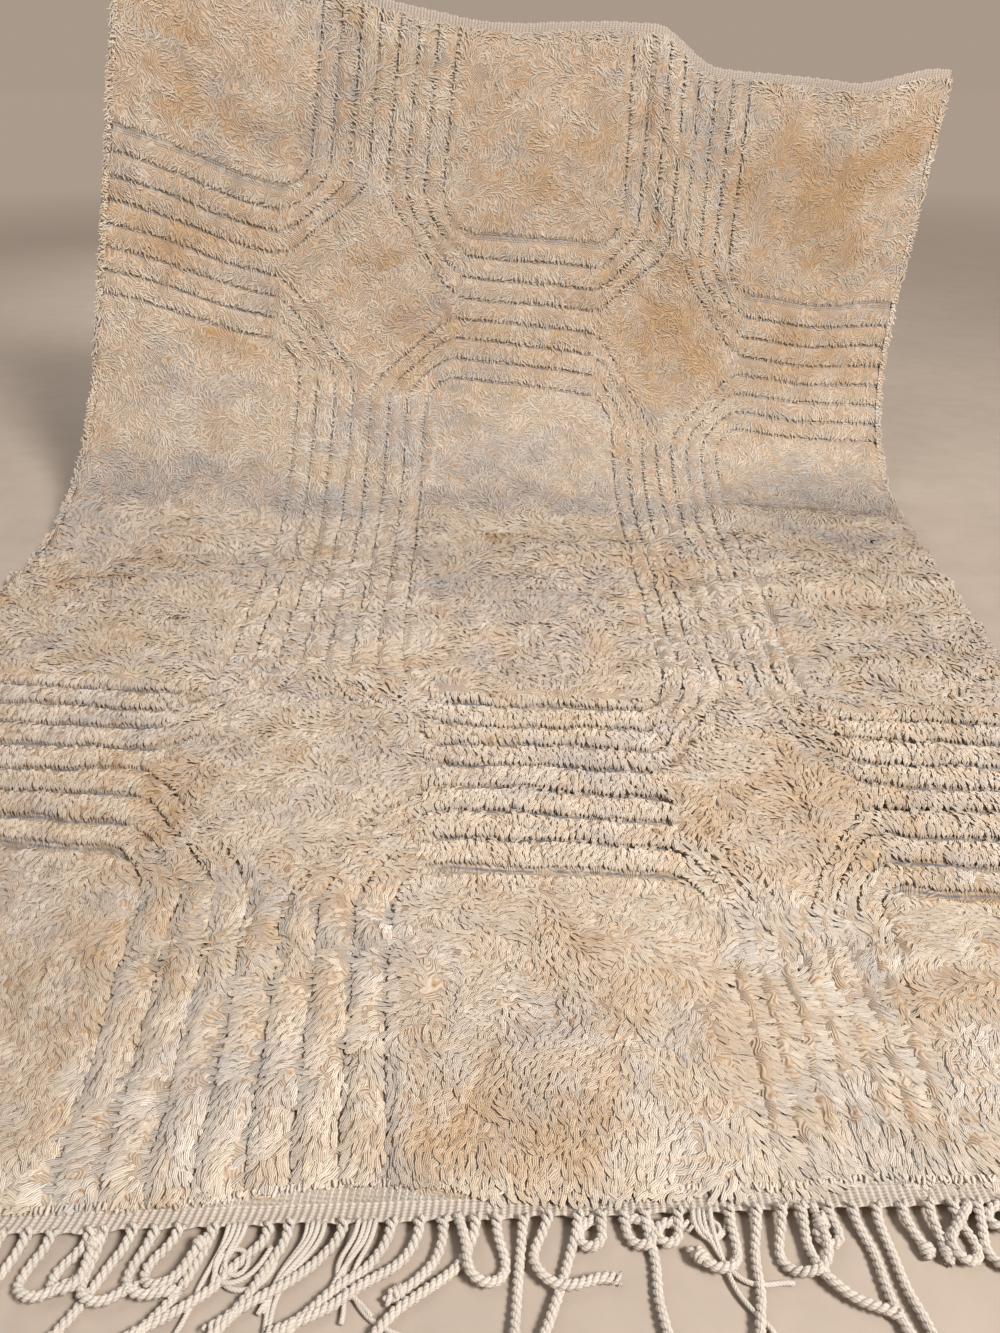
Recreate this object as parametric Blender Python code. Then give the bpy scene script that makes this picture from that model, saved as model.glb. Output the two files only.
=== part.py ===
"""Thick hand-knotted wool rug with carved grooves, its far end held up and its front on the floor.

Three pieces: the pile cloth, the flat-woven heading at the held end, and the front heading with
its fringe of cords. Everything is placed by two distances on the flat rug, across and along, which
rug_point turns into a place on the draped one.
"""

import math

import bmesh
import bpy
import numpy as np
from mathutils import Vector, noise

# The flat rug, in metres. Across runs from -half_width to half_width, along from the front end.
half_width = 1.0
rug_length = 2.924
front_start = 0.011
front_skew = 0.101
top_skew = 0.031
thickness = 0.024
heading_length = 0.025
heading_thickness = 0.005
gap = 0.0003

# The drape: flat on the floor, then one soft bend about a slanted line, then straight up to the hold.
bend_turn = math.radians(10.9)
bend_start = 1.45
bend_length = 0.853
hang_slope = math.radians(75.0)
lift_start = 1.45

# How far each point of the held end is pulled up, or sags, along the cloth.
held_end = (
    # across, lift
    (-1.00, 0.065),
    (-0.60, 0.000),
    (-0.20, -0.016),
    (0.24, 0.042),
    (0.41, -0.022),
    (0.74, 0.000),
    (1.00, 0.068),
)

# Soft folds: each runs from one place to another and raises or sinks the whole cloth.
folds = (
    # from across, along, to across, along, half width, height
    (-1.05, 1.62, -0.45, 1.50, 0.085, 0.012),
    (-0.90, 1.30, -0.10, 1.36, 0.090, 0.008),
    (-0.35, 1.16, 0.45, 1.20, 0.080, 0.006),
    (-0.10, 1.52, 0.70, 1.58, 0.085, 0.012),
    (0.45, 1.80, 1.05, 1.72, 0.080, 0.016),
    (0.40, 1.38, 1.05, 1.44, 0.085, 0.013),
    (0.30, 1.04, 1.00, 1.10, 0.080, 0.007),
    (0.22, 3.00, 0.44, 2.40, 0.100, 0.022),
    (-0.60, 3.00, -0.45, 2.45, 0.220, -0.020),
    (0.72, 3.00, 0.66, 2.45, 0.200, -0.018),
)

# Bands of parallel grooves. The grooves lie half a pitch to three and a half pitches each side of
# the band's centre line.
groove_reach = 4.5
bands_along = (
    # centre, drift, curl, pitch, pitch growth, groove depth
    (-0.307, -0.085, 0.022, 0.0463, -0.0009, 0.006),
    (0.465, -0.059, -0.018, 0.0357, 0.0054, 0.005),
)
bands_across = (
    # centre, slope, pitch, groove depth, side of the widest groove
    (0.719, -0.008, 0.0586, 0.009, -1),
    (2.269, -0.034, 0.0491, 0.009, 1),
)
mid_along = 1.438
diagonal_depth = 0.007
widest_depth = 0.014
lump_height = 0.003
lump_size = 0.085

# Mesh steps in the three fields and two bands, across and along, and on the plain underside.
steps_across = (4, 18, 4, 18, 3)
steps_along = (6, 18, 18, 18, 6)
underside_every = 4

# Rim of the pile: heights above the underside, and how far the locks stand out.
edge_height = 0.0065
lock_height = 0.014
lock_reach = 0.009
lock_evenness = 0.6
shoulder = 0.004

# Fringe cords, squared off and lying on the floor. Each swings to the lean of its neighbours in the
# first stretch of its length, then makes its own turn.
cord_pitch = 0.025
cord_width = 0.011
cord_steps = 6
cord_swing = 0.06
turn_start = 0.5
turn_share = 0.35
hook_turn = 45.0
cord_kinds = (
    # length, turn in degrees, width at the tip
    (0.190, 5.0, 0.7),
    (0.080, -6.0, 1.2),
    (0.066, 4.0, 0.7),
    (0.148, -80.0, 1.0),
    (0.120, 3.0, 1.2),
    (0.170, 4.0, 0.7),
    (0.074, -5.0, 1.2),
    (0.064, 4.0, 0.8),
    (0.142, -76.0, 1.1),
)
cord_lean = (
    # across, degrees
    (-1.00, -8.0),
    (-0.40, -16.0),
    (-0.02, -34.0),
    (0.28, -4.0),
    (0.60, 12.0),
    (1.00, 14.0),
)

# Middle of the draped rug's outline, which stands at the origin.
middle_x = 0.0519
middle_y = 1.0903


def smooth(t):
    t = min(max(t, 0.0), 1.0)
    return t * t * (3.0 - 2.0 * t)


def bend_table(steps=400):
    """Distance along the bend against the run and rise of the cloth there."""
    step = bend_length / steps
    distance = np.arange(steps + 1) * step
    middle = (distance[:-1] + step / 2) / bend_length
    slope = hang_slope * middle * middle * (3.0 - 2.0 * middle)
    run = np.concatenate(([0.0], np.cumsum(np.cos(slope) * step)))
    rise = np.concatenate(([0.0], np.cumsum(np.sin(slope) * step)))
    return distance, run, rise


bend_distance, bend_run, bend_rise = bend_table()


def profile(distance):
    """Run, rise and slope of the cloth at a distance from where the floor part starts."""
    if distance <= bend_start:
        return distance, 0.0, 0.0
    past = min(distance - bend_start, bend_length)
    straight = max(distance - bend_start - bend_length, 0.0)
    slope = hang_slope * smooth(past / bend_length)
    run = bend_start + float(np.interp(past, bend_distance, bend_run)) + straight * math.cos(slope)
    rise = float(np.interp(past, bend_distance, bend_rise)) + straight * math.sin(slope)
    return run, rise, slope


def between(table, across):
    """Value at a place across the rug, eased from row to row of a table."""
    for (left, low), (right, high) in zip(table, table[1:]):
        if across <= right:
            return low + (high - low) * smooth((across - left) / (right - left))
    return table[-1][1]


def fold_height(across, along):
    height = 0.0
    for start_across, start_along, end_across, end_along, width, rise in folds:
        ahead = Vector((end_across - start_across, end_along - start_along))
        place = Vector((across - start_across, along - start_along))
        share = place.dot(ahead) / ahead.length_squared
        aside = abs(place.x * ahead.y - place.y * ahead.x) / ahead.length
        if 0.0 < share < 1.0 and aside < width:
            fade = smooth(share / 0.3) * smooth((1.0 - share) / 0.3)
            height += rise * fade * (0.5 + 0.5 * math.cos(math.pi * aside / width))
    return height


def rug_point(across, along, height):
    """Place on the draped rug, height measured from the underside of the cloth."""
    ramp = smooth((along - lift_start) / (rug_length - lift_start))
    lifted = along + between(held_end, across) * ramp
    cosine, sine = math.cos(bend_turn), math.sin(bend_turn)
    distance = lifted * cosine - across * sine
    aside = lifted * sine + across * cosine
    run, rise, slope = profile(distance)
    raised = height - thickness + fold_height(across, along)
    run -= raised * math.sin(slope)
    rise += raised * math.cos(slope) + thickness
    return Vector((
        aside * cosine - run * sine - middle_x,
        aside * sine + run * cosine - middle_y,
        rise,
    ))


def front_end(across):
    return front_start + front_skew * across


def top_end(across):
    return rug_length + top_skew * across


def spread(breaks, steps):
    """Stations from break to break, each stretch cut into its own number of steps."""
    stations = [breaks[0]]
    for start, end, count in zip(breaks, breaks[1:], steps):
        for step in range(1, count + 1):
            stations.append(start + (end - start) * step / count)
    return stations


def columns_at(along):
    breaks = [-half_width]
    for centre, drift, curl, pitch, growth, _ in bands_along:
        offset = along - mid_along
        middle = centre + drift * offset + curl * offset * offset
        reach = groove_reach * (pitch + growth * offset)
        breaks += [middle - reach, middle + reach]
    return spread(breaks + [half_width], steps_across)


def rows_at(across):
    breaks = [front_end(across) + heading_length]
    for centre, slope, pitch, _, _ in bands_across:
        middle = centre + slope * across
        breaks += [middle - groove_reach * pitch, middle + groove_reach * pitch]
    return spread(breaks + [top_end(across) - heading_length], steps_along)


def grid_place(column, row):
    across, along = 0.0, 0.0
    for _ in range(4):
        across = columns_at(along)[column]
        along = rows_at(across)[row]
    return across, along


def band_and_offset(index, steps):
    """Which band a grid line is in, and its half pitches from that band's centre."""
    for band, first in enumerate((steps[0], sum(steps[:3]))):
        if first <= index <= first + steps[1]:
            return band, index - first - steps[1] // 2
    return None, None


def groove_depth(column, row):
    """Depth of the carving at a grid point.

    Straight grooves stop where two bands cross. There, slanted ones join each groove to the one at
    the same place in the other band, round the corner of the field between them.
    """
    band_a, offset_a = band_and_offset(column, steps_across)
    band_b, offset_b = band_and_offset(row, steps_along)
    edge = steps_across[1] // 2
    if band_a is not None and band_b is not None:
        total = abs(offset_a) + abs(offset_b)
        in_groove = total % 2 == 0 and edge + 1 <= total <= 2 * edge - 2
        return diagonal_depth if in_groove else 0.0
    if band_a is not None:
        in_groove = offset_a % 2 == 1 and abs(offset_a) < edge
        return bands_along[band_a][5] if in_groove else 0.0
    if band_b is not None:
        depth, widest_side = bands_across[band_b][3:]
        if offset_b == widest_side * (edge - 2):
            return widest_depth
        return depth if offset_b % 2 == 1 and abs(offset_b) < edge else 0.0
    return 0.0


def material(name, colour, roughness):
    made = bpy.data.materials.new(name)
    made.use_nodes = True
    shader = made.node_tree.nodes["Principled BSDF"]
    shader.inputs["Base Color"].default_value = (*colour, 1.0)
    shader.inputs["Roughness"].default_value = roughness
    shader.inputs["Metallic"].default_value = 0.0
    return made


def add_object(name, bm, collection, surface):
    bmesh.ops.recalc_face_normals(bm, faces=bm.faces)
    if bm.calc_volume(signed=True) < 0.0:
        bmesh.ops.reverse_faces(bm, faces=bm.faces)
    mesh = bpy.data.meshes.new(name)
    bm.to_mesh(mesh)
    bm.free()
    mesh.materials.append(surface)
    made = bpy.data.objects.new(name, mesh)
    collection.objects.link(made)
    return made


def slab_grid(columns, rows, rim_cuts):
    """A box in grid units: x is the column, y the row, and z runs from 0 below to 1 on top."""
    bm = bmesh.new()
    bmesh.ops.create_grid(bm, x_segments=columns, y_segments=rows, size=0.5)
    for vert in bm.verts:
        vert.co = ((vert.co.x + 0.5) * columns, (vert.co.y + 0.5) * rows, 0.0)
    raised = bmesh.ops.extrude_face_region(bm, geom=bm.faces[:])
    for item in raised["geom"]:
        if isinstance(item, bmesh.types.BMVert):
            item.co.z = 1.0
    if rim_cuts:
        upright = [edge for edge in bm.edges if abs(edge.verts[0].co.z - edge.verts[1].co.z) > 0.5]
        bmesh.ops.subdivide_edges(bm, edges=upright, cuts=rim_cuts, use_grid_fill=True)
    return bm


def split_on_groove(bm):
    """Split each four-sided top face that a slanted groove crosses along that groove."""
    for face in [face for face in bm.faces if all(vert.co.z > 0.99 for vert in face.verts)]:
        corners = list(face.verts)
        depths = [groove_depth(round(vert.co.x), round(vert.co.y)) for vert in corners]
        first = depths[0] + depths[2]
        second = depths[1] + depths[3]
        if first > second:
            bmesh.utils.face_split(face, corners[0], corners[2])
        elif second > first:
            bmesh.utils.face_split(face, corners[1], corners[3])


def lock_out(column, row):
    """How far the rim stands out at a grid point: every other one has a lock, no two quite alike."""
    if (column + row) % 2 == 0:
        return 0.0
    return lock_reach * (lock_evenness + noise.noise(Vector((column, row, 0.0)) * lock_evenness))


def pile_cloth(collection):
    """Woven ground and carved pile in one slab, with locks standing out all round its rim."""
    columns, rows = sum(steps_across), sum(steps_along)
    bm = slab_grid(columns, rows, 2)
    spare = []
    for edge in bm.edges:
        first, second = edge.verts
        below = first.co.z < 0.01 and second.co.z < 0.01
        inside = abs(first.co.x - second.co.x) < 0.01 and 0.5 < first.co.x < columns - 0.5
        if below and inside and round(first.co.x) % underside_every:
            spare.append(edge)
    bmesh.ops.dissolve_edges(bm, edges=spare, use_verts=True)
    split_on_groove(bm)

    for vert in bm.verts:
        column, row, level = round(vert.co.x), round(vert.co.y), round(vert.co.z * 3)
        across, along = grid_place(column, row)
        side = (column == columns) - (column == 0)
        end = (row == rows) - (row == 0)
        height = 0.0
        if level == 1:
            height = edge_height
        elif level == 2:
            height = lock_height
            out = lock_out(column, row)
            across += side * out
            along += end * out
        elif level == 3:
            lump = noise.noise(Vector((across, along, 0.0)) / lump_size)
            height = thickness - groove_depth(column, row) + lump_height * lump
            if side or end:
                height -= shoulder
                across -= side * shoulder
                along -= end * shoulder
        vert.co = rug_point(across, along, height)
    return add_object("pile_cloth", bm, collection, material("Wool pile", (0.66, 0.55, 0.42), 0.95))


def top_heading(collection):
    """Flat-woven strip that finishes the held end."""
    columns, rows = sum(steps_across), sum(steps_along)
    bm = slab_grid(columns, 1, 0)
    for vert in bm.verts:
        across, along = grid_place(round(vert.co.x), rows)
        along += gap + (heading_length - gap) * vert.co.y
        vert.co = rug_point(across, along, heading_thickness * vert.co.z)
    return add_object("top_heading", bm, collection, material("Heading weave", (0.72, 0.64, 0.54), 0.9))


def cord_path(root_across, kind):
    """Centre line of one cord on the floor, as places and headings.

    A hooked cord ends at its own heading, whatever the lean it started with.
    """
    length, turn = kind[0], math.radians(kind[1])
    lean = math.radians(between(cord_lean, root_across))
    place = rug_point(root_across, front_end(root_across), 0.0)
    path = []
    for index in range(1, cord_steps + 1):
        headings = []
        for share in ((index - 0.5) / cord_steps, index / cord_steps):
            early = smooth(share * length / cord_swing)
            late = smooth((share - turn_start) / turn_share)
            kept = 1.0 - late * (abs(kind[1]) > hook_turn)
            headings.append(lean * early * kept + turn * late)
        ahead = Vector((math.sin(headings[0]), -math.cos(headings[0]), 0.0))
        place = place + ahead * length / cord_steps
        path.append((place, headings[1]))
    return path


def extrude_cord(bm, root, kind, root_across):
    """Draw a four-sided cord out of one face of the heading's front edge."""
    middle = root.calc_center_median()
    sides = {}
    for vert in root.verts:
        sides[vert] = (1 if vert.co.x > middle.x else -1, 1 if vert.co.z > middle.z else 0)
    path = cord_path(root_across, kind)
    face = root
    for index, (place, heading) in enumerate(path):
        before = {tuple(round(c, 7) for c in vert.co): side for vert, side in sides.items()}
        face = bmesh.ops.extrude_discrete_faces(bm, faces=[face])["faces"][0]
        sides = {vert: before[tuple(round(c, 7) for c in vert.co)] for vert in face.verts}
        width = cord_width * (kind[2] if index == len(path) - 1 else 1.0)
        aside = Vector((math.cos(heading), math.sin(heading), 0.0)) * width / 2
        for vert, (side, upper) in sides.items():
            vert.co = place + side * aside + Vector((0.0, 0.0, upper * width))


def front_heading_fringe(collection):
    """Flat-woven strip at the front end with its cords, lying on the floor."""
    count = int((2.0 * half_width - cord_pitch) / cord_pitch) + 1
    first = -cord_pitch * (count - 1) / 2
    roots = [first + cord_pitch * index for index in range(count)]
    stations = [-half_width]
    for root in roots:
        stations += [root - cord_width / 2, root + cord_width / 2]
    stations.append(half_width)

    bm = slab_grid(len(stations) - 1, 1, 0)
    for vert in bm.verts:
        across = stations[round(vert.co.x)]
        along = front_end(across) + (heading_length - gap) * vert.co.y
        vert.co = rug_point(across, along, heading_thickness * vert.co.z)
    bmesh.ops.recalc_face_normals(bm, faces=bm.faces)
    fronts = [face for face in bm.faces if face.normal.y < -0.8]
    fronts.sort(key=lambda face: face.calc_center_median().x)
    for index, root in enumerate(roots):
        extrude_cord(bm, fronts[2 * index + 1], cord_kinds[index % len(cord_kinds)], root)
    surface = material("Fringe wool", (0.74, 0.66, 0.56), 0.9)
    return add_object("front_heading_fringe", bm, collection, surface)


def main():
    for item in list(bpy.data.objects):
        bpy.data.objects.remove(item, do_unlink=True)
    collection = bpy.data.collections.new("mrirt_rug")
    bpy.context.scene.collection.children.link(collection)
    pile_cloth(collection)
    top_heading(collection)
    front_heading_fringe(collection)


main()
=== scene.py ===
import math

import bpy
import numpy as np
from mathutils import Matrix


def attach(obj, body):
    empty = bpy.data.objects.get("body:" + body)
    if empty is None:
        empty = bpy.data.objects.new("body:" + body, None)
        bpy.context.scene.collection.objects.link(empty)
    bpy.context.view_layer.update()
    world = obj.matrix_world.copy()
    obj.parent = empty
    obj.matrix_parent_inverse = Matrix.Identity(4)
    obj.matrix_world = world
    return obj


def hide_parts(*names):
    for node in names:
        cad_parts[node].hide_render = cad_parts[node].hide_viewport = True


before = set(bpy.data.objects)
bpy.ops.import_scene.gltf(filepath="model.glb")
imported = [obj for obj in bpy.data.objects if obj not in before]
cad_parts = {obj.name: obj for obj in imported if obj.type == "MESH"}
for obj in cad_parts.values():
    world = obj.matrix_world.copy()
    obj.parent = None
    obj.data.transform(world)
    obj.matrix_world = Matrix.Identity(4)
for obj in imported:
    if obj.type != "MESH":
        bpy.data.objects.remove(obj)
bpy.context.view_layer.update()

# The rug laid flat, in metres: across runs from side to side, along from the front end to the held end.
rug = {
    "halfWidth": 1.0,
    "length": 2.924,
    "frontStart": 0.011,
    "frontSkew": 0.101,
    "topSkew": 0.031,
    "thickness": 0.024,
    "heading": 0.025,
    "middleX": 0.0519,
    "middleY": 1.0903,
}

# Flat on the floor, one soft bend about a slanted line, then straight and steep up to the hold.
hang = {
    "turn": math.radians(10.9),
    "start": 1.45,
    "length": 0.853,
    "slope": math.radians(75.0),
    "liftStart": 1.45,
    "lifts": ((-1.00, 0.065), (-0.60, 0.000), (-0.20, -0.016), (0.24, 0.042),  # across, lift
              (0.41, -0.022), (0.74, 0.000), (1.00, 0.068)),
    "folds": (  # from across, along, to across, along, half width, height
        (-1.05, 1.62, -0.45, 1.50, 0.085, 0.012),
        (-0.90, 1.30, -0.10, 1.36, 0.090, 0.008),
        (-0.35, 1.16, 0.45, 1.20, 0.080, 0.006),
        (-0.10, 1.52, 0.70, 1.58, 0.085, 0.012),
        (0.45, 1.80, 1.05, 1.72, 0.080, 0.016),
        (0.40, 1.38, 1.05, 1.44, 0.085, 0.013),
        (0.30, 1.04, 1.00, 1.10, 0.080, 0.007),
        (0.22, 3.00, 0.44, 2.40, 0.100, 0.022),
        (-0.60, 3.00, -0.45, 2.45, 0.220, -0.020),
        (0.72, 3.00, 0.66, 2.45, 0.200, -0.018),
    ),
}

# Carved grooves. Two bands run along the rug and two across it, eight grooves in each.
carving = {
    "alongBands": (  # centre, drift, curl, pitch, pitch growth
        (-0.307, -0.085, 0.022, 0.0463, -0.0009),
        (0.465, -0.059, -0.018, 0.0357, 0.0054),
    ),
    "acrossBands": (  # centre, slope, pitch, side of the widest groove
        (0.719, -0.008, 0.0586, -1),
        (2.269, -0.034, 0.0491, 1),
    ),
    "midAlong": 1.438,
    "reach": 4.5,          # pitches from a band's middle to its edge
    "far": 0.05,           # the distance to a groove that is given wherever none is near
    "near": 0.04,          # less than this from a groove is on its ribs
    "cuts": {  # depth on the floor and where it hangs, half width on the floor and where it hangs
        "toA": (0.0050, 0.0056, 0.0050, 0.0042),
        "toB": (0.0150, 0.0050, 0.0062, 0.0052),
        "toWide": (0.0155, 0.0052, 0.0088, 0.0108),
        "toS": (0.0080, 0.0056, 0.0050, 0.0048),
    },
    "ribRound": {  # how far a rib's side falls on the floor and where it hangs, and over what width
        "toA": (0.0068, 0.0022, 0.020),
        "toB": (0.0062, 0.0030, 0.022),
        "toWide": (0.0050, 0.0024, 0.024),
        "toS": (0.0042, 0.0022, 0.017),
    },
    "grooveLine": (0.0014, 0.0030),    # half width kept clear along the narrow grooves, at the front and beyond
    "gap": (0.45, 0.72, 0.66),   # share of an across cut kept clear: front side, far side, where it hangs
    "slantGap": (0.44, 0.64),    # the same for a slanted cut, on the floor and where it hangs
    "corner": 1.7,         # half pitches over which a groove turns
    "stray": (0.0046, 0.16, 0.0024, 0.052),  # how far grooves wander, over what length, twice
    "creases": (  # hollows pressed into the pile: from across, along, to across, along, half width, depth
        (-0.10, 0.275, 0.10, 0.300, 0.020, 0.0065), (0.16, 0.46, 0.15, 0.30, 0.018, 0.0050),
        (0.02, 0.140, 0.22, 0.090, 0.016, 0.0050), (0.10, 0.190, 0.13, 0.120, 0.014, 0.0045),
        (0.20, 0.215, 0.32, 0.250, 0.016, 0.0040), (-0.30, 0.40, -0.20, 0.33, 0.018, 0.0040),
        (0.32, 0.400, 0.44, 0.380, 0.018, 0.0040), (-0.62, 0.30, -0.45, 0.24, 0.022, 0.0045),
    ),
}


def ease(t):
    t = np.clip(t, 0.0, 1.0)
    return t * t * (3.0 - 2.0 * t)


def fade(t):
    return 1 - ease(t)


def blend(first, second, share):
    return first + (second - first) * share


def between(rows, place):
    # value at a place, eased from row to row
    value = np.full(np.shape(place), rows[-1][1], float)
    for (left, low), (right, high) in reversed(list(zip(rows, rows[1:]))):
        share = (np.asarray(place) - left) / (right - left)
        value = np.where(place <= right, blend(low, high, ease(share)), value)
    return value


def summed(steps):
    # running sum that starts at zero
    return np.concatenate(([0.0], np.cumsum(steps)))


bendSteps = np.linspace(0.0, hang["length"], 401)
bendMiddles = (bendSteps[1:] + bendSteps[:-1]) / 2
bendSlopes = hang["slope"] * ease(bendMiddles / hang["length"])
bendRun = summed(np.cos(bendSlopes)) * bendSteps[1]
bendRise = summed(np.sin(bendSlopes)) * bendSteps[1]


def beside(line, x, y):
    # how far to the side of a line, and a share that fades out at both of its ends
    x0, y0, x1, y1 = line
    aheadX, aheadY = x1 - x0, y1 - y0
    length = math.hypot(aheadX, aheadY)
    share = ((x - x0) * aheadX + (y - y0) * aheadY) / length ** 2
    aside = np.abs((x - x0) * aheadY - (y - y0) * aheadX) / length
    return aside, ease(share / 0.3) * ease((1.0 - share) / 0.3)


def foldHeight(across, along):
    height = np.zeros(np.shape(across))
    for *line, width, rise in hang["folds"]:
        aside, share = beside(line, across, along)
        height += rise * (0.5 + 0.5 * np.cos(math.pi * np.minimum(aside / width, 1.0))) * share
    return height


def drape(across, along, height):
    # place on the draped rug, with the height taken from the underside of the cloth
    across, along = np.asarray(across, float), np.asarray(along, float)
    ramp = ease((along - hang["liftStart"]) / (rug["length"] - hang["liftStart"]))
    lifted = along + between(hang["lifts"], across) * ramp
    cosine, sine = math.cos(hang["turn"]), math.sin(hang["turn"])
    distance = lifted * cosine - across * sine
    aside = lifted * sine + across * cosine
    past = np.clip(distance - hang["start"], 0.0, hang["length"])
    straight = np.maximum(distance - hang["start"] - hang["length"], 0.0)
    slope = hang["slope"] * ease(past / hang["length"])
    run = np.minimum(distance, hang["start"]) + np.interp(past, bendSteps, bendRun)
    run += straight * np.cos(slope)
    rise = np.interp(past, bendSteps, bendRise) + straight * np.sin(slope)
    raised = height - rug["thickness"] + foldHeight(across, along)
    run = run - raised * np.sin(slope)
    rise = rise + raised * np.cos(slope) + rug["thickness"]
    return np.stack((aside * cosine - run * sine - rug["middleX"],
                     aside * sine + run * cosine - rug["middleY"], rise), axis=-1)


def frontEnd(across):
    return rug["frontStart"] + rug["frontSkew"] * across


def topEnd(across):
    return rug["length"] + rug["topSkew"] * across


def pileEnds(across):
    # where the pile meets the two headings
    return frontEnd(across) + rug["heading"], topEnd(across) - rug["heading"]


def softNoise(x, y, size, seed):
    # smooth noise from -1 to 1
    table = np.random.RandomState(seed).rand(128, 128) * 2 - 1
    u, v = np.asarray(x) / size + 311.3, np.asarray(y) / size + 173.7
    i, j = np.floor(u).astype(int), np.floor(v).astype(int)
    fu, fv = ease(u - i), ease(v - j)
    i0, j0, i1, j1 = i % 128, j % 128, (i + 1) % 128, (j + 1) % 128
    low = table[i0, j0] * (1 - fu) + table[i1, j0] * fu
    high = table[i0, j1] * (1 - fu) + table[i1, j1] * fu
    return low * (1 - fv) + high * fv


def stray(across, along, seed):
    # how far a groove wanders from its true line, more on the floor
    wide, wideOver, small, smallOver = carving["stray"]
    loose = 1.0 - 0.72 * ease((along - 1.3) / 0.6)
    large = wide * softNoise(across, along, wideOver, seed)
    return loose * (large + small * softNoise(across, along, smallOver, seed + 1))


def strayAcross(across, along):
    # each across groove wanders a little by itself
    return 1.9 * stray(across, along * 1.7, 17)


def softened(across, along):
    # towards the front right the carving is almost brushed flat
    return ease((across - 0.20) / 0.14) * fade((along - 0.40) / 0.25)


def capped(value, top):
    # the value up to a top, with a rounded corner, so that grooves turn in a curve
    share = np.clip(0.5 + 0.5 * (top - value) / carving["corner"], 0.0, 1.0)
    return top + (value - top) * share - carving["corner"] * share * (1 - share)


def grooves(across, along):
    # half pitches from the middle of the nearest band each way, and metres to each kind of groove
    offset = along - carving["midAlong"]
    strayA, strayB = stray(across, along, 15), strayAcross(across, along)
    a = np.full(np.shape(across), 99.0)
    b, halfA, halfB = a.copy(), np.ones_like(a), np.ones_like(a)
    side = np.zeros_like(a)
    for centre, drift, curl, pitch, growth in carving["alongBands"]:
        half = (pitch + growth * offset) / 2
        here = (across - strayA - centre - drift * offset - curl * offset ** 2) / half
        near = np.abs(here) < np.abs(a)
        a, halfA = np.where(near, here, a), np.where(near, half, halfA)
    for centre, slope, pitch, widest in carving["acrossBands"]:
        here = (along - strayB - centre - slope * across) / (pitch / 2)
        near = np.abs(here) < np.abs(b)
        b, halfB = np.where(near, here, b), np.where(near, pitch / 2, halfB)
        side = np.where(near, widest, side)
    edge, far = 2 * carving["reach"], carving["far"]
    inA, inB = np.abs(a) <= edge, np.abs(b) <= edge
    total = capped(np.abs(a), edge) + capped(np.abs(b), edge)
    # a groove runs wherever the total is 10, 12, 14 or 16
    away = np.where((total > 9) & (total < 17), np.abs(np.mod(total + 1, 2) - 1), 99.0)
    toB = np.where(inB & ~inA, np.minimum(away * halfB, far), far)
    wide = inB & ~inA & (np.abs(b - 7 * side) < 1)
    hung = ease((along - 1.5) / 0.45)
    worn = np.clip(0.92 + 0.55 * softNoise(across, along * 2.4, 0.10, 14), 0.40, 1.12)
    return {
        "a": a, "b": b, "total": total, "hung": hung,
        "along": along + np.zeros_like(a),
        "toA": np.where(inA & ~inB, np.minimum(away * halfA, far), far),
        "toB": np.where(wide, far, toB),
        "toWide": np.where(wide, toB, far),
        "toS": np.where(inA & inB, np.minimum(away * (halfA + halfB) / 2 * 0.707, far), far),
        "into": np.where(wide, (b - 7 * side) * halfB, far),
        "beyond": np.mod(b, 2) > 1,
        "soft": softened(across, along),
        "open": hung + (1 - hung) * worn,  # on the floor the pile has closed over parts of a groove
    }


pile = {
    "sunk": 0.0034,        # how far its mean top lies under the rug's full thickness
    "swell": (0.0026, 0.085),                       # height, size
    "lumps": ((0.0026, 0.034), (0.0014, 0.017)),    # height, size; half as high where it hangs
    "ripples": ((0.0072, 0.28, 0.030), (0.0030, 0.35, 0.014)),  # by the bend: height, squeeze, size
    "atFront": (0.0118, 0.032),                     # how far it drops at a heading, and over what length
    "atTop": (0.0060, 0.020),
}


def recess(across):
    # how far the pile stands back from its front line
    back = 0.0180 * np.exp(-((across + 0.01) / 0.12) ** 2) + 0.0060 * np.exp(-((across - 0.525) / 0.045) ** 2)
    return back + 0.0016 * softNoise(across, 0.0, 0.05, 19) ** 2


def pileTop(across, along, groove):
    # top of the pile over its ribs, before the cuts
    flatter = 1.0 - 0.5 * groove["hung"]
    height, size = pile["swell"]
    top = rug["thickness"] - pile["sunk"] + height * softNoise(across, along, size, 5)
    for (height, size), seed in zip(pile["lumps"], (6, 7)):
        top += flatter * height * softNoise(across, along, size, seed)
    rippled = ease((along - 0.80) / 0.30) * ease((1.85 - along) / 0.3)
    for (height, squeeze, size), seed in zip(pile["ripples"], (8, 18)):
        top += height * rippled * softNoise(across * squeeze, along, size, seed)
    start, end = pileEnds(across)
    inside = along - start - recess(across), end - along
    for (drop, over), edge in zip((pile["atFront"], pile["atTop"]), inside):
        top -= drop * fade(edge / over)
    # a rib across the rug is steeper on the side towards the front
    steep = np.where(np.mod(groove["b"], 2) > 1, 0.75, 1.15)
    for kind, (fall, fallHung, width) in carving["ribRound"].items():
        fall = blend(fall, fallHung, groove["hung"])
        if kind == "toA":
            fall = fall * (1.0 - 0.50 * ease((along - 0.5) / 0.3) * (1 - groove["hung"]))
            fall = fall * (1.0 - 0.25 * groove["soft"])
        width = width * steep if kind in ("toB", "toWide") else width
        top -= fall * fade(groove[kind] / width) ** 1.3
    bentX = across + 0.012 * softNoise(across, along, 0.04, 9)
    bentY = along + 0.012 * softNoise(across, along, 0.04, 10)
    for *line, width, depth in carving["creases"]:
        aside, share = beside(line, bentX, bentY)
        top -= depth * fade(aside / width) * share
    return top


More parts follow.
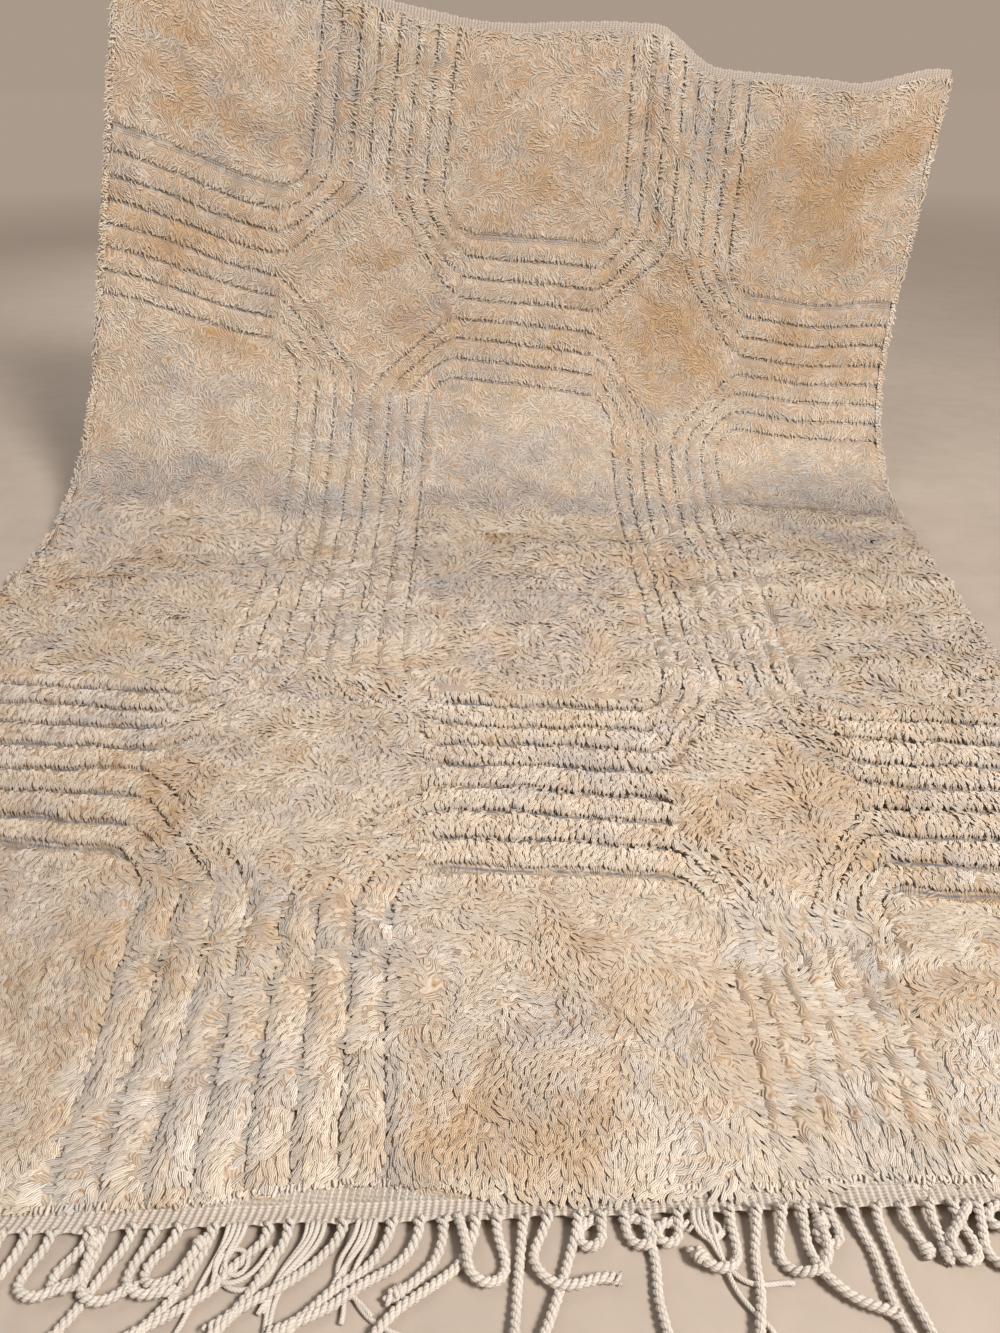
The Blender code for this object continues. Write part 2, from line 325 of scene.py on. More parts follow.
def cutDepth(groove):
    depth = np.zeros(np.shape(groove["a"]))
    for kind, (onFloor, whereHung, half, halfHung) in carving["cuts"].items():
        deep = blend(onFloor, whereHung, groove["hung"])
        half = blend(half, halfHung, groove["hung"])
        if kind == "toWide":
            deep = deep * (1 - 0.5 * (1 - groove["hung"]) * ease(groove["into"] / 0.004))
        deep = deep * groove["open"] ** 0.6
        depth = np.maximum(depth, deep * fade((groove[kind] / half - 0.3) / 0.7))
    return depth


def bare(groove, kept=0.80):
    # where no yarn may lie, so that a cut stays open
    cleared = np.zeros(np.shape(groove["a"]), bool)
    for kind, (_, _, half, halfHung) in carving["cuts"].items():
        half = blend(half, halfHung, groove["hung"])
        if kind == "toA":
            half = blend(*carving["grooveLine"], ease((groove["along"] - 0.4) / 0.5)) * (1 - groove["soft"])
        if kind == "toS":
            half = half * blend(*carving["slantGap"], groove["hung"])
        if kind == "toB":
            front, beyond, whereHung = carving["gap"]
            share = blend(np.where(groove["beyond"], beyond, front), whereHung, groove["hung"])
            half = half * share * groove["open"]
        cleared |= groove[kind] < half * kept
    return cleared


yarn = {
    "width": 0.0031,       # one yarn where it hangs
    "fine": 0.70,          # on the floor the yarns are this much finer
    "reach": 0.0220,       # length that shows
    "growth": ((0.00, 0.95), (0.60, 1.00), (1.00, 1.10),  # along, size
               (1.55, 1.24), (2.10, 1.33), (2.95, 1.36)),
    "pieces": (  # from, to along, yarns side by side, layers over the bed
        (0.00, 0.38, 3, 3.6), (0.38, 0.85, 3, 3.4), (0.85, 1.25, 3, 3.0), (1.25, 1.65, 3, 2.8),
        (1.65, 2.20, 1, 2.3), (2.20, 3.10, 1, 2.3),
    ),
    "clump": 0.034,        # yarns in a clump lie the same way
    "rounding": math.radians(34.0),
    "tone": (0.93, 1.07),  # darkest and lightest
    "relief": ((0.40, 0.55, 1.30, 1.60, 1.95),  # along, and how much the yarns arch there
               (1.30, 1.70, 1.95, 1.80, 0.26)),
    "seed": 11,
}


def ribbonWidth(sideBySide):
    return yarn["width"] * (1.0 if sideBySide == 1 else yarn["fine"] * sideBySide)


def sizeAt(along):
    rows = yarn["growth"]
    return np.interp(along, [row[0] for row in rows], [row[1] for row in rows])


# Where the wool is warmer or greyer, and where painted light and shade make it dimmer or paler: across,
# along, half width, half length, strength.
stainsAndPaintedShade = {
    "ochre": (
        (0.70, 2.70, 0.20, 0.13, 1.0), (0.88, 2.76, 0.10, 0.10, 0.8), (0.80, 2.54, 0.13, 0.05, 0.8),
        (-0.86, 2.72, 0.14, 0.10, 0.7), (-0.70, 2.55, 0.24, 0.06, 0.75), (-0.64, 2.74, 0.06, 0.10, 0.5),
        (0.40, 2.43, 0.06, 0.06, 0.9), (0.42, 2.25, 0.17, 0.15, 0.7), (0.76, 2.31, 0.22, 0.10, 0.6),
        (-0.80, 2.31, 0.22, 0.10, 0.55), (-0.72, 2.09, 0.15, 0.035, 0.8), (-0.24, 2.21, 0.12, 0.12, 0.4),
        (-0.38, 2.37, 0.06, 0.06, 0.5), (0.08, 2.62, 0.20, 0.16, 0.45), (0.24, 2.76, 0.08, 0.08, 0.5),
        (0.00, 1.60, 0.12, 0.024, 0.7), (-0.34, 1.50, 0.15, 0.035, 0.5), (-0.74, 1.44, 0.20, 0.05, 0.4),
        (-0.82, 1.30, 0.15, 0.12, 0.3), (0.80, 1.30, 0.09, 0.05, 0.5), (0.40, 1.48, 0.20, 0.05, 0.35),
        (-0.42, 0.66, 0.05, 0.22, 0.6), (-0.33, 0.76, 0.10, 0.14, 0.4), (-0.36, 0.30, 0.10, 0.20, 0.4),
        (0.10, 0.13, 0.16, 0.10, 0.45), (0.36, 0.26, 0.12, 0.14, 0.3), (0.50, 0.62, 0.14, 0.14, 0.4),
        (-0.10, 0.42, 0.12, 0.10, 0.3), (0.85, 0.40, 0.30, 0.30, 0.35), (-0.80, 0.40, 0.25, 0.30, 0.35),
    ),
    "paintedLightAndShade": (  # painted shade by place; a strength below zero makes it paler, painted light
        (-0.80, 0.30, 0.60, 0.60, 0.14), (0.00, 2.70, 1.50, 0.75, 0.21), (0.85, 2.55, 0.50, 0.60, 0.07),
        (0.85, 1.72, 0.35, 0.26, 0.22), (-0.75, 1.75, 0.35, 0.20, 0.06), (0.00, 1.60, 0.60, 0.30, 0.07),
        (0.85, 1.15, 0.30, 0.30, 0.08), (0.85, 0.35, 0.40, 0.40, 0.06), (0.05, 0.88, 0.90, 0.55, -0.085),
    ),
    "grey": (
        (0.80, 1.86, 0.34, 0.13, 0.9), (0.82, 1.68, 0.24, 0.055, 1.0), (0.20, 1.75, 0.50, 0.07, 0.8),
        (-0.80, 1.73, 0.32, 0.09, 0.8), (-0.40, 1.72, 0.25, 0.08, 0.7), (-0.10, 1.92, 0.60, 0.12, 0.5),
        (-0.94, 1.58, 0.12, 0.05, 0.7), (0.56, 1.55, 0.14, 0.035, 0.6), (0.05, 1.32, 0.28, 0.14, 0.55),
        (0.10, 1.05, 0.30, 0.12, 0.45), (-0.46, 2.66, 0.10, 0.24, 0.45), (0.44, 2.80, 0.10, 0.16, 0.4),
        (-0.60, 1.95, 0.30, 0.07, 0.4), (-0.50, 1.10, 0.10, 0.14, 0.35), (0.30, 0.80, 0.25, 0.10, 0.38),
        (-0.70, 0.86, 0.25, 0.10, 0.25), (0.70, 1.25, 0.20, 0.10, 0.3), (-0.22, 0.25, 0.06, 0.20, 0.3),
        (0.62, 0.25, 0.05, 0.20, 0.3), (-0.10, 2.12, 0.16, 0.05, 0.35), (0.30, 2.10, 0.10, 0.06, 0.4),
        (0.00, 1.12, 0.95, 0.42, 0.20),
    ),
}


def paintedLightShare(across, along):
    # painted light and shade by place: the share of its light that the wool keeps
    kept = np.ones(np.shape(across))
    for x, y, wide, tall, strength in stainsAndPaintedShade["paintedLightAndShade"]:
        kept = kept - strength * fade(np.hypot((across - x) / wide, (along - y) / tall) - 0.25)
    return kept


def stained(kind, across, along):
    # patches with ragged edges, and a little of the same colour in single yarns
    ragX = across + 0.035 * softNoise(across, along, 0.05, 21) + 0.03 * softNoise(across, along, 0.13, 22)
    ragY = along + 0.030 * softNoise(across, along, 0.05, 23) + 0.03 * softNoise(across, along, 0.13, 24)
    amount = np.zeros(np.shape(across))
    for x, y, wide, tall, strength in stainsAndPaintedShade[kind]:
        away = np.hypot((ragX - x) / wide, (ragY - y) / tall)
        amount = np.maximum(amount, strength * fade(away - 0.25))
    seed = 31 if kind == "ochre" else 37
    cloudy = 0.30 * softNoise(across, along, 0.11, seed) + 0.38 * softNoise(across, along, 0.045, seed + 1)
    cloudy += 0.28 * softNoise(across, along, 0.020, seed + 2)
    return np.clip(amount + cloudy + 0.02, 0.0, 1.0)


def feed(tree, socket, value):
    if isinstance(value, Socket):
        tree.links.new(value.output, socket)
    else:
        socket.default_value = (*value, 1.0) if socket.type == "RGBA" else value


class Socket:
    # a node's output that plain arithmetic can be written with
    def __init__(self, tree, output):
        self.tree, self.output = tree, output

    def maths(self, operation, *values):
        node = self.tree.nodes.new("ShaderNodeMath")
        node.operation = operation
        for socket, value in zip(node.inputs, values):
            feed(self.tree, socket, value)
        return Socket(self.tree, node.outputs[0])

    def __add__(self, other):
        return self.maths("ADD", self, other)

    def __sub__(self, other):
        return self.maths("SUBTRACT", self, other)

    def __rsub__(self, other):
        return self.maths("SUBTRACT", other, self)

    def __mul__(self, other):
        return self.maths("MULTIPLY", self, other)

    def __pow__(self, other):
        return self.maths("POWER", self, other)

    def clamped(self):
        held = self.maths("ADD", self, 0.0)
        held.output.node.use_clamp = True
        return held

    def zigzag(self, half):
        # up from zero to half a period, and back
        return self.maths("PINGPONG", self, half)

    def near(self, middle, half):
        # one within half of the middle, or else zero
        return self.maths("COMPARE", self, middle, half)


class Finish:
    # a tree of nodes that ends in one shader, for a material or the air
    def __init__(self, owner, shader="Principled BSDF"):
        owner.use_nodes = True
        self.owner, self.tree = owner, owner.node_tree
        self.shader = self.tree.nodes[shader]

    def add(self, kind, settings=None, output=0, **sockets):
        # sockets are given by name, or by number as s0, s1 and so on
        node = self.tree.nodes.new("ShaderNode" + kind)
        for key, value in (settings or {}).items():
            setattr(node, key, value)
        for key, value in sockets.items():
            feed(self.tree, node.inputs[int(key[1:]) if key[1:].isdigit() else key], value)
        return Socket(self.tree, node.outputs[output])

    def give(self, name, value):
        feed(self.tree, self.shader.inputs[name], value)

    def value(self, name):
        return self.add("Attribute", {"attribute_name": name}, output=2)

    def vector(self, name):
        return self.add("Attribute", {"attribute_name": name}, output=1)

    def spot(self):
        # the place in the object's own space
        return self.add("TexCoord", output=3)

    def parts(self, vector):
        node = self.add("SeparateXYZ", Vector=vector).output.node
        return [Socket(self.tree, output) for output in node.outputs]

    def noise(self, vector, scale, detail=2.0, rough=0.5):
        return self.add("TexNoise", Vector=vector, Scale=scale, Detail=detail, Roughness=rough)

    def mix(self, amount, first, second):
        # sockets 6 and 7 are the two colours, output 2 the mixed one
        return self.add("Mix", {"data_type": "RGBA"}, output=2, s0=amount, s6=first, s7=second)

    def scaled(self, colour, amount):
        return self.add("VectorMath", {"operation": "SCALE"}, s0=colour, s3=amount)

    def bump(self, height, distance, strength):
        self.give("Normal", self.add("Bump", Height=height, Distance=distance, Strength=strength))


def newFinish(name, roughness, sheen, specular, glow=0.0):
    finish = Finish(bpy.data.materials.new(name))
    finish.give("Roughness", roughness)
    finish.give("Sheen Weight", sheen)
    finish.give("Specular IOR Level", specular)
    finish.give("Emission Strength", glow)
    return finish


wool = {
    "cream": (0.690, 0.575, 0.445),
    "pale": (0.780, 0.712, 0.628),
    "ochre": (0.595, 0.418, 0.255),
    "grey": (0.500, 0.483, 0.472),
    "paintedPitShade": (0.360, 0.190, 0.072),      # painted shade between yarns and in the bed's hollows
    "thread": (0.170, 0.178, 0.205),   # weft lines in the wide grooves
    "grooveLine": (0.130, 0.105, 0.085),     # painted shade: a broken dark line in the narrow grooves
}


def woolColour(finish):
    place = finish.vector("rugPlace")
    cloud, patch = finish.noise(place, 4.0, 4.0), finish.noise(place, 17.0, 3.0, 0.6)
    speck = finish.noise(place, 70.0, 3.0, 0.6)
    colour = finish.mix((cloud * 1.6 + patch * 2.4 - 1.5).clamped(), wool["cream"], wool["pale"])
    for stain in ("ochre", "grey"):
        amount = (finish.value(stain) + speck * 0.6 - 0.28).clamped()
        colour = finish.mix(amount * 0.90, colour, wool[stain])
    return finish.scaled(colour, finish.value("tone") * (speck * 0.30 + 0.85))


def yarnFinish(name):
    # each unit of the strand map across a ribbon is one yarn
    finish = newFinish(name, 0.92, 0.12, 0.18)
    strand = finish.parts(finish.add("UVMap", {"uv_map": "strand"}))[0]
    crown = 1.0 - (1.0 - strand.zigzag(0.5) * 2.0) ** 2.0
    single = finish.add("TexWhiteNoise", {"noise_dimensions": "1D"}, W=strand.maths("FLOOR", strand))
    # painted shade: darker at a yarn's sides, away from its crown, and at its ends where it dives under its
    # neighbours
    low = ((1.0 - crown) * 0.72 + (1.0 - finish.value("ends")) * 0.30).clamped()
    # painted shade: dark dots that stand for pits among the yarn ends
    dots = (finish.noise(finish.vector("rugPlace"), 230.0, 1.0) * 8.0 - 5.0).clamped()
    # less painted shade where the pile is calm
    low = (low * 0.92 + dots * 0.60).clamped() * (1.0 - finish.value("calm") * 0.70)
    wholeYarn = finish.scaled(woolColour(finish), single * 0.16 + 0.92)
    finish.give("Base Color", finish.mix(low, wholeYarn, wool["paintedPitShade"]))
    finish.bump(crown + finish.noise(finish.spot(), 900.0) * 0.3, 0.0009, 0.8)
    return finish.owner


def bedFinish(name):
    # curled yarns deeper in the pile, with the weft lines that show in the grooves
    finish = newFinish(name, 0.95, 0.05, 0.12)
    place, grain = finish.vector("rugPlace"), finish.vector("grainPlace")
    swirl = finish.add("TexNoise", {"noise_dimensions": "2D"}, output=1, Vector=grain, Scale=24.0, Detail=1.5)
    bent = finish.add("VectorMath", {"operation": "MULTIPLY_ADD"}, s0=swirl, s1=(0.075, 0.075, 0.0), s2=grain)
    ridge = finish.add("TexWave", {"bands_direction": "DIAGONAL"}, output=1, Vector=bent, Scale=80.0,
                       Distortion=1.5, Detail=1.0)
    # painted shade in the troughs of the curled yarns
    deep = (1.0 - ridge) ** 2.0 * (finish.noise(grain, 130.0) * 1.8 - 0.3).clamped()
    # painted shade where the bed lies under the yarns, away from the cuts and the rim
    buried = 1.0 - finish.value("cut")
    colour = finish.mix((deep * 0.8 + buried * 0.20).clamped(), woolColour(finish), wool["paintedPitShade"])
    # painted shade: darker the deeper the cut
    colour = finish.scaled(colour, finish.value("lit"))
    threads = finish.value("toAcross").near(0.0028, 0.0011) + finish.value("toWide").near(0.0034, 0.0011)
    threads = threads + finish.value("toWide").near(0.0082, 0.0010)
    broken = (finish.noise(place, 75.0) * 3.2 - 0.9).clamped()
    colour = finish.mix((threads * broken).clamped() * 0.88, colour, wool["thread"])
    # painted shade: a broken dark line along the bottom of the narrow and slanted grooves
    dashes = (finish.noise(place, 120.0) * 3.6 - 1.4).clamped() * finish.value("dashed")
    grooveLine = finish.value("toAlong").near(0.0, 0.0015)
    finish.give("Base Color", finish.mix((grooveLine * dashes).clamped() * 0.70, colour, wool["grooveLine"]))
    finish.bump(ridge + finish.noise(finish.spot(), 90.0) * 0.6, 0.0016, 0.8)
    return finish.owner


def addMesh(name, points, counts, corners, material):
    # counts gives each face's number of corners
    mesh = bpy.data.meshes.new(name)
    mesh.vertices.add(len(points))
    mesh.vertices.foreach_set("co", np.asarray(points, np.float32).ravel())
    mesh.loops.add(len(corners))
    mesh.polygons.add(len(counts))
    mesh.polygons.foreach_set("loop_start", summed(counts)[:-1].astype(np.int32))
    mesh.polygons.foreach_set("vertices", np.asarray(corners, np.int32))
    mesh.polygons.foreach_set("use_smooth", np.ones(len(counts), bool))
    mesh.update(calc_edges=True)
    mesh.validate()
    mesh.materials.append(material)
    made = bpy.data.objects.new(name, mesh)
    bpy.context.scene.collection.objects.link(made)
    return made


def addValues(made, name, values, kind="FLOAT"):
    layer = made.data.attributes.new(name, kind, "POINT")
    layer.data.foreach_set("value" if kind == "FLOAT" else "vector", np.asarray(values, np.float32).ravel())


def addMap(made, name, u, v):
    # a map whose places are given for each point
    corners = np.zeros(len(made.data.loops), np.int32)
    made.data.loops.foreach_get("vertex_index", corners)
    uv = np.stack((u.ravel(), v.ravel()), axis=-1)[corners]
    layer = made.data.uv_layers.new(name=name, do_init=False)
    layer.uv.foreach_set("vector", uv.astype(np.float32).ravel())


def addAttributes(made, across, along, tone, extra=None):
    # what the finishes read: the place on the flat rug, the stains, and the yarn's own tone with painted
    # light and shade by place
    across, along, flat = across.ravel(), along.ravel(), np.zeros(across.size)
    addValues(made, "rugPlace", np.stack((across, along, flat), axis=-1), "FLOAT_VECTOR")
    rows = np.linspace(-0.3, 3.3, 361)
    run = np.interp(along, rows, summed(0.01 / sizeAt(rows[1:] - 0.005)))
    addValues(made, "grainPlace", np.stack((across / sizeAt(along), run, flat), axis=-1), "FLOAT_VECTOR")
    # painted shade: greyer in a band along the bend
    bend = 0.30 * np.exp(-((along - 1.50) / 0.42) ** 2)
    values = {"ochre": stained("ochre", across, along), "grey": stained("grey", across, along) + bend,
              # tone with painted light and shade by place
              "tone": tone.ravel() * paintedLightShare(across, along)}
    for name, value in {**values, **(extra or {})}.items():
        addValues(made, name, value)
    addMap(made, "OFBake", (across + 1.08) / 2.16, (along + 0.30) / 3.30)


def gridFaces(columns, rows):
    # corners of a sheet of quads whose points run row by row
    first = (np.arange(rows)[:, None] * (columns + 1) + np.arange(columns)[None, :]).ravel()
    corners = np.stack((first, first + 1, first + columns + 2, first + columns + 1), axis=-1)
    return np.full(len(first), 4), corners


def dress(made, slotName, *nodes):
    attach(made, "root")
    if nodes:
        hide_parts(*nodes)


print("woven ground")

ground = {
    "columns": 60,
    "rows": 88,
    "width": 0.997,        # share of the rug's width
    "thickness": 0.0045,
    "tone": 0.80,
    "knots": ((0.0032, 312.0), (0.0026, 384.0)),  # half a knot each way, and what brings that to about one
}


def weaveFinish(name):
    # the back of the rug: rows of knots
    finish = newFinish(name, 0.95, 0.05, 0.12)
    place = finish.vector("rugPlace")
    ribs, rows = (part.zigzag(half) * most
                  for part, (half, most) in zip(finish.parts(place), ground["knots"]))
    knots = ribs * rows
    finish.give("Base Color", finish.scaled(woolColour(finish), knots * 0.25 + 0.72))
    finish.bump(knots + finish.noise(place, 300.0) * 0.5, 0.0015, 0.9)
    return finish.owner


def makeGround():
    bpy.ops.object.select_all(action="DESELECT")
    bpy.ops.mesh.primitive_grid_add(x_subdivisions=ground["columns"], y_subdivisions=ground["rows"], size=2.0)
    made = bpy.context.object
    made.name = "wovenGround"
    co = np.zeros(len(made.data.vertices) * 3, np.float32)
    made.data.vertices.foreach_get("co", co)
    u, v, _ = co.reshape(-1, 3).T
    across = u * ground["width"] * rug["halfWidth"]
    along = blend(*pileEnds(across), v / 2 + 0.5)
    across, along = across.astype(float), along.astype(float)
    points = drape(across, along, ground["thickness"])
    made.data.vertices.foreach_set("co", points.astype(np.float32).ravel())
    addAttributes(made, across, along, np.full(len(u), ground["tone"]))
    made.data.materials.append(weaveFinish("Woven ground"))
    made.data.update()
    solid = made.modifiers.new("Solidify", "SOLIDIFY")
    solid.thickness = ground["thickness"]
    solid.offset = -1.0
    bpy.ops.object.modifier_apply(modifier="Solidify")
    bpy.ops.object.shade_smooth()
    return made


wovenGround = makeGround()


print("pile bed")

pileBed = {
    # faces between the bands, with none given inside a band, where they follow the grooves
    "fieldColumns": (36, 0, 28, 0, 26),
    "fieldRows": (30, 0, 74, 0, 28),
    "bunch": (0.40, 0.78),    # where the two extra lines lie between a rib's top and its groove
    "tone": 0.97,
    "rimIn": 0.006,           # how far in from the side edges its foot and its shoulder are
    "shoulderIn": 0.009,
}


def stations(breaks, steps):
    # places from break to break; in a band they bunch towards each groove
    places, near = [breaks[0]], pileBed["bunch"]
    halves = int(4 * carving["reach"])
    for index, (start, end, count) in enumerate(zip(breaks, breaks[1:], steps)):
        if index % 2:
            for half in range(halves):
                shares = near if half % 2 == 0 else tuple(1 - share for share in reversed(near))
                places += [start + (end - start) * (half + share) / halves for share in (*shares, 1.0)]
        else:
            places += [start + (end - start) * step / count for step in range(1, count + 1)]
    return places


def bedGrid():
    # lines of points that follow the bands, found in a few rounds since each way depends on the other
    columns = len(stations(range(6), pileBed["fieldColumns"]))
    rows = len(stations(range(6), pileBed["fieldRows"]))
    along = np.linspace(0.04, 2.90, rows)[:, None] + np.zeros((1, columns))
    across = np.zeros((rows, columns))
    for _ in range(4):
        offset = along - carving["midAlong"]
        breaks = [np.full_like(along, -rug["halfWidth"])]
        for centre, drift, curl, pitch, growth in carving["alongBands"]:
            middle = centre + drift * offset + curl * offset ** 2 + stray(across, along, 15)
            reach = carving["reach"] * (pitch + growth * offset)
            breaks += [middle - reach, middle + reach]
        breaks.append(np.full_like(along, rug["halfWidth"]))
        lines = stations(breaks, pileBed["fieldColumns"])
        across = np.stack([line[:, column] for column, line in enumerate(lines)], axis=1)
        start, end = pileEnds(across)
        breaks = [start]
        for centre, slope, pitch, _ in carving["acrossBands"]:
            middle = centre + slope * across + strayAcross(across, along)
            breaks += [middle - carving["reach"] * pitch, middle + carving["reach"] * pitch]
        breaks.append(end)
        lines = stations(breaks, pileBed["fieldRows"])
        along = np.stack([line[row, :] for row, line in enumerate(lines)], axis=0)
    return across, along


def makeBed():
    across, along = bedGrid()
    foot, shoulder = rug["halfWidth"] - pileBed["rimIn"], rug["halfWidth"] - pileBed["shoulderIn"]
    across = np.clip(across, -foot, foot)
    across[:, 1], across[:, -2] = -shoulder, shoulder
    along[-2] = along[-1] - 0.003
    rows, columns = across.shape
    groove = grooves(across, along)
    cut = cutDepth(groove)
    top = pileTop(across, along, groove) - cut + 0.0010 * softNoise(across, along, 0.011, 12)
    top = np.maximum(top, ground["thickness"] + 0.0006)
    low = along < pileEnds(across)[0] + recess(across)
    low[0, :] = low[-1, :] = low[:, 0] = low[:, -1] = True
    top = np.where(low, ground["thickness"] * 0.6, top)
    counts, corners = gridFaces(columns - 1, rows - 1)
    points = drape(across, along, top).reshape(-1, 3)
    made = addMesh("pileBed", points, counts, corners.ravel(), bedFinish("Pile bed"))
    inside = rug["halfWidth"] - np.abs(across)
    addAttributes(made, across, along, np.full(top.shape, pileBed["tone"]), {
        "toAcross": groove["toB"],
        "toWide": groove["toWide"],
        "toAlong": np.minimum(groove["toA"], groove["toS"] * 0.7),
        # where the bed shows, in a cut or at the rim; elsewhere it gets painted shade under the yarns
        "cut": np.maximum(np.clip(cut / 0.003, 0, 1), 1 - ease((inside - 0.004) / 0.004)),
        # painted shade: the share of light kept, less the deeper the cut
        "lit": 1.0 - 0.34 * np.clip(cut / 0.016, 0, 1),
        "dashed": ease((along - 0.5) / 0.4) * np.where(groove["toS"] < carving["near"], 1.5, 1.0),
    })
    return made


bed = makeBed()


print("pile yarn")


def yarnRoots(start, end, sideBySide, layers, chance):
    # one root in each cell of an uneven grid, for the rows between two places along
    step = math.sqrt(ribbonWidth(sideBySide) * yarn["reach"] / layers)
    acrosses, shares, place = [], [], start
    span = rug["length"] - 2 * rug["heading"]
    while place < min(end, span):
        pace = step * float(sizeAt(place))
        count = int(2 * rug["halfWidth"] / pace)
        offsets = (np.arange(count) + chance.rand(count)) / count
        acrosses.append(offsets * 2 * rug["halfWidth"] - rug["halfWidth"])
        shares.append((place + chance.rand(count) * pace) / span)
        place += pace
    across, share = np.concatenate(acrosses), np.clip(np.concatenate(shares), 0.0, 1.0)
    return across, blend(*pileEnds(across), share)


def nearestClump(x, y, size, seed):
    # four chance values for the clump that each place is in
    chance = np.random.RandomState(seed)
    jitter, values = chance.rand(128, 128, 2), chance.rand(128, 128, 4)
    i, j = np.floor(x / size).astype(int), np.floor(y / size).astype(int)
    best = np.full(x.shape, 1e9)
    found = np.zeros((len(x), 4))
    for di in (-1, 0, 1):
        for dj in (-1, 0, 1):
            ci, cj = (i + di) % 128, (j + dj) % 128
            spot = jitter[ci, cj]
            away = (x - (i + di + spot[:, 0]) * size) ** 2 + (y - (j + dj + spot[:, 1]) * size) ** 2
            closer = away < best
            best = np.where(closer, away, best)
            found = np.where(closer[:, None], values[ci, cj], found)
    return found


def inAcrossRibs(groove):
    return (np.minimum(groove["toB"], groove["toWide"]) < carving["near"]) * 1.0


def flow(across, along, groove):
    # which way the yarns lie
    turn = math.pi * 1.6 * softNoise(across, along, 0.20, 41) + 1.9 * softNoise(across, along, 0.060, 42)
    x, y = np.cos(turn), np.sin(turn)
    # forwards at the front edge, and outwards from its middle
    front = np.exp(-((along - 0.14) / 0.24) ** 2)
    x = x * (1 - 0.3 * front) + 0.8 * front * np.clip((across - 0.16) / 0.30, -1, 1)
    y = y * (1 - 0.4 * front) - 1.1 * front * np.where(along < 0.44, 1.0, 0.2)
    y -= 0.25 * ease((along - 1.6) / 0.4)
    # forwards over the ribs across the rug
    ribs = inAcrossRibs(groove)
    x, y = x * (1 - 0.6 * ribs), y * (1 - 0.6 * ribs) - ribs * np.where(along < 1.2, 1.7, 0.6)
    # towards the nearest of the other grooves
    towardsA = np.sign(2 * np.floor(groove["a"] / 2) + 1 - groove["a"])
    towardsS = np.sign(2 * np.floor((groove["total"] + 1) / 2) - groove["total"])
    nearA = np.clip(0.40 - 20 * groove["toA"], 0, 1) * (1 - 0.7 * groove["soft"])
    nearS = (groove["toS"] < carving["near"]) * 0.35
    x += nearA * towardsA + nearS * towardsS * np.sign(groove["a"])
    y += nearS * towardsS * np.sign(groove["b"])
    # outwards at the sides
    x += 0.9 * ease((np.abs(across) - rug["halfWidth"] + 0.03) / 0.03) * np.sign(across)
    return np.arctan2(y, x)


def flank(groove):
    # painted light and shade: how much paler the lit side of a ridge is, and how much greyer its shaded side
    side = np.mod(groove["a"] + 1, 2) - 1
    near = (groove["toA"] < carving["near"]) * fade((groove["along"] - 0.5) / 0.3)
    near = near * (1 - 0.6 * groove["soft"])
    along = near * np.where(side > 0, 0.13 * ease((side - 0.1) / 0.5), -0.15 * ease((-side - 0.05) / 0.5))
    side = np.mod(groove["b"] + 1, 2) - 1
    near = inAcrossRibs(groove) * (1 - groove["hung"])
    return along + near * np.where(side > 0, 0.10 * ease(side / 0.5), -0.10 * ease((-side - 0.3) / 0.5))


def notStraight(curl):
    return np.where(np.abs(curl) < 0.05, 0.05, curl)


def curved(across, along, heading, curl, reach, t):
    # the place and the direction at a share t of a yarn that turns evenly
    start = heading - 0.35 * curl
    angle = start + curl * t
    x = across + reach / curl * (np.sin(angle) - np.sin(start))
    return x, along - reach / curl * (np.cos(angle) - np.cos(start)), angle


def freeReach(across, along, heading, curl, reach):
    # the share of its length that a yarn can have before it lies over a cut, the rim or a heading
    share = np.ones(len(across))
    stopped = np.zeros(len(across), bool)
    for t in (0.3, 0.45, 0.6, 0.75, 0.9, 1.0):
        x, y, _ = curved(across, along, heading, curl, reach, t)
        overhang = 0.017 * ease((x - 0.10) / 0.06) * (1 - np.exp(-((x - 0.525) / 0.05) ** 2)) + 0.002
        first, last = pileEnds(x)
        out = bare(grooves(x, y)) | (np.abs(x) > rug["halfWidth"] + 0.003)
        out |= (y > last + 0.003) | (y < first + recess(x) - overhang)
        share = np.where(out & ~stopped, t, share)
        stopped |= out
    return share


def unit(vectors):
    return vectors / np.linalg.norm(vectors, axis=-1, keepdims=True)


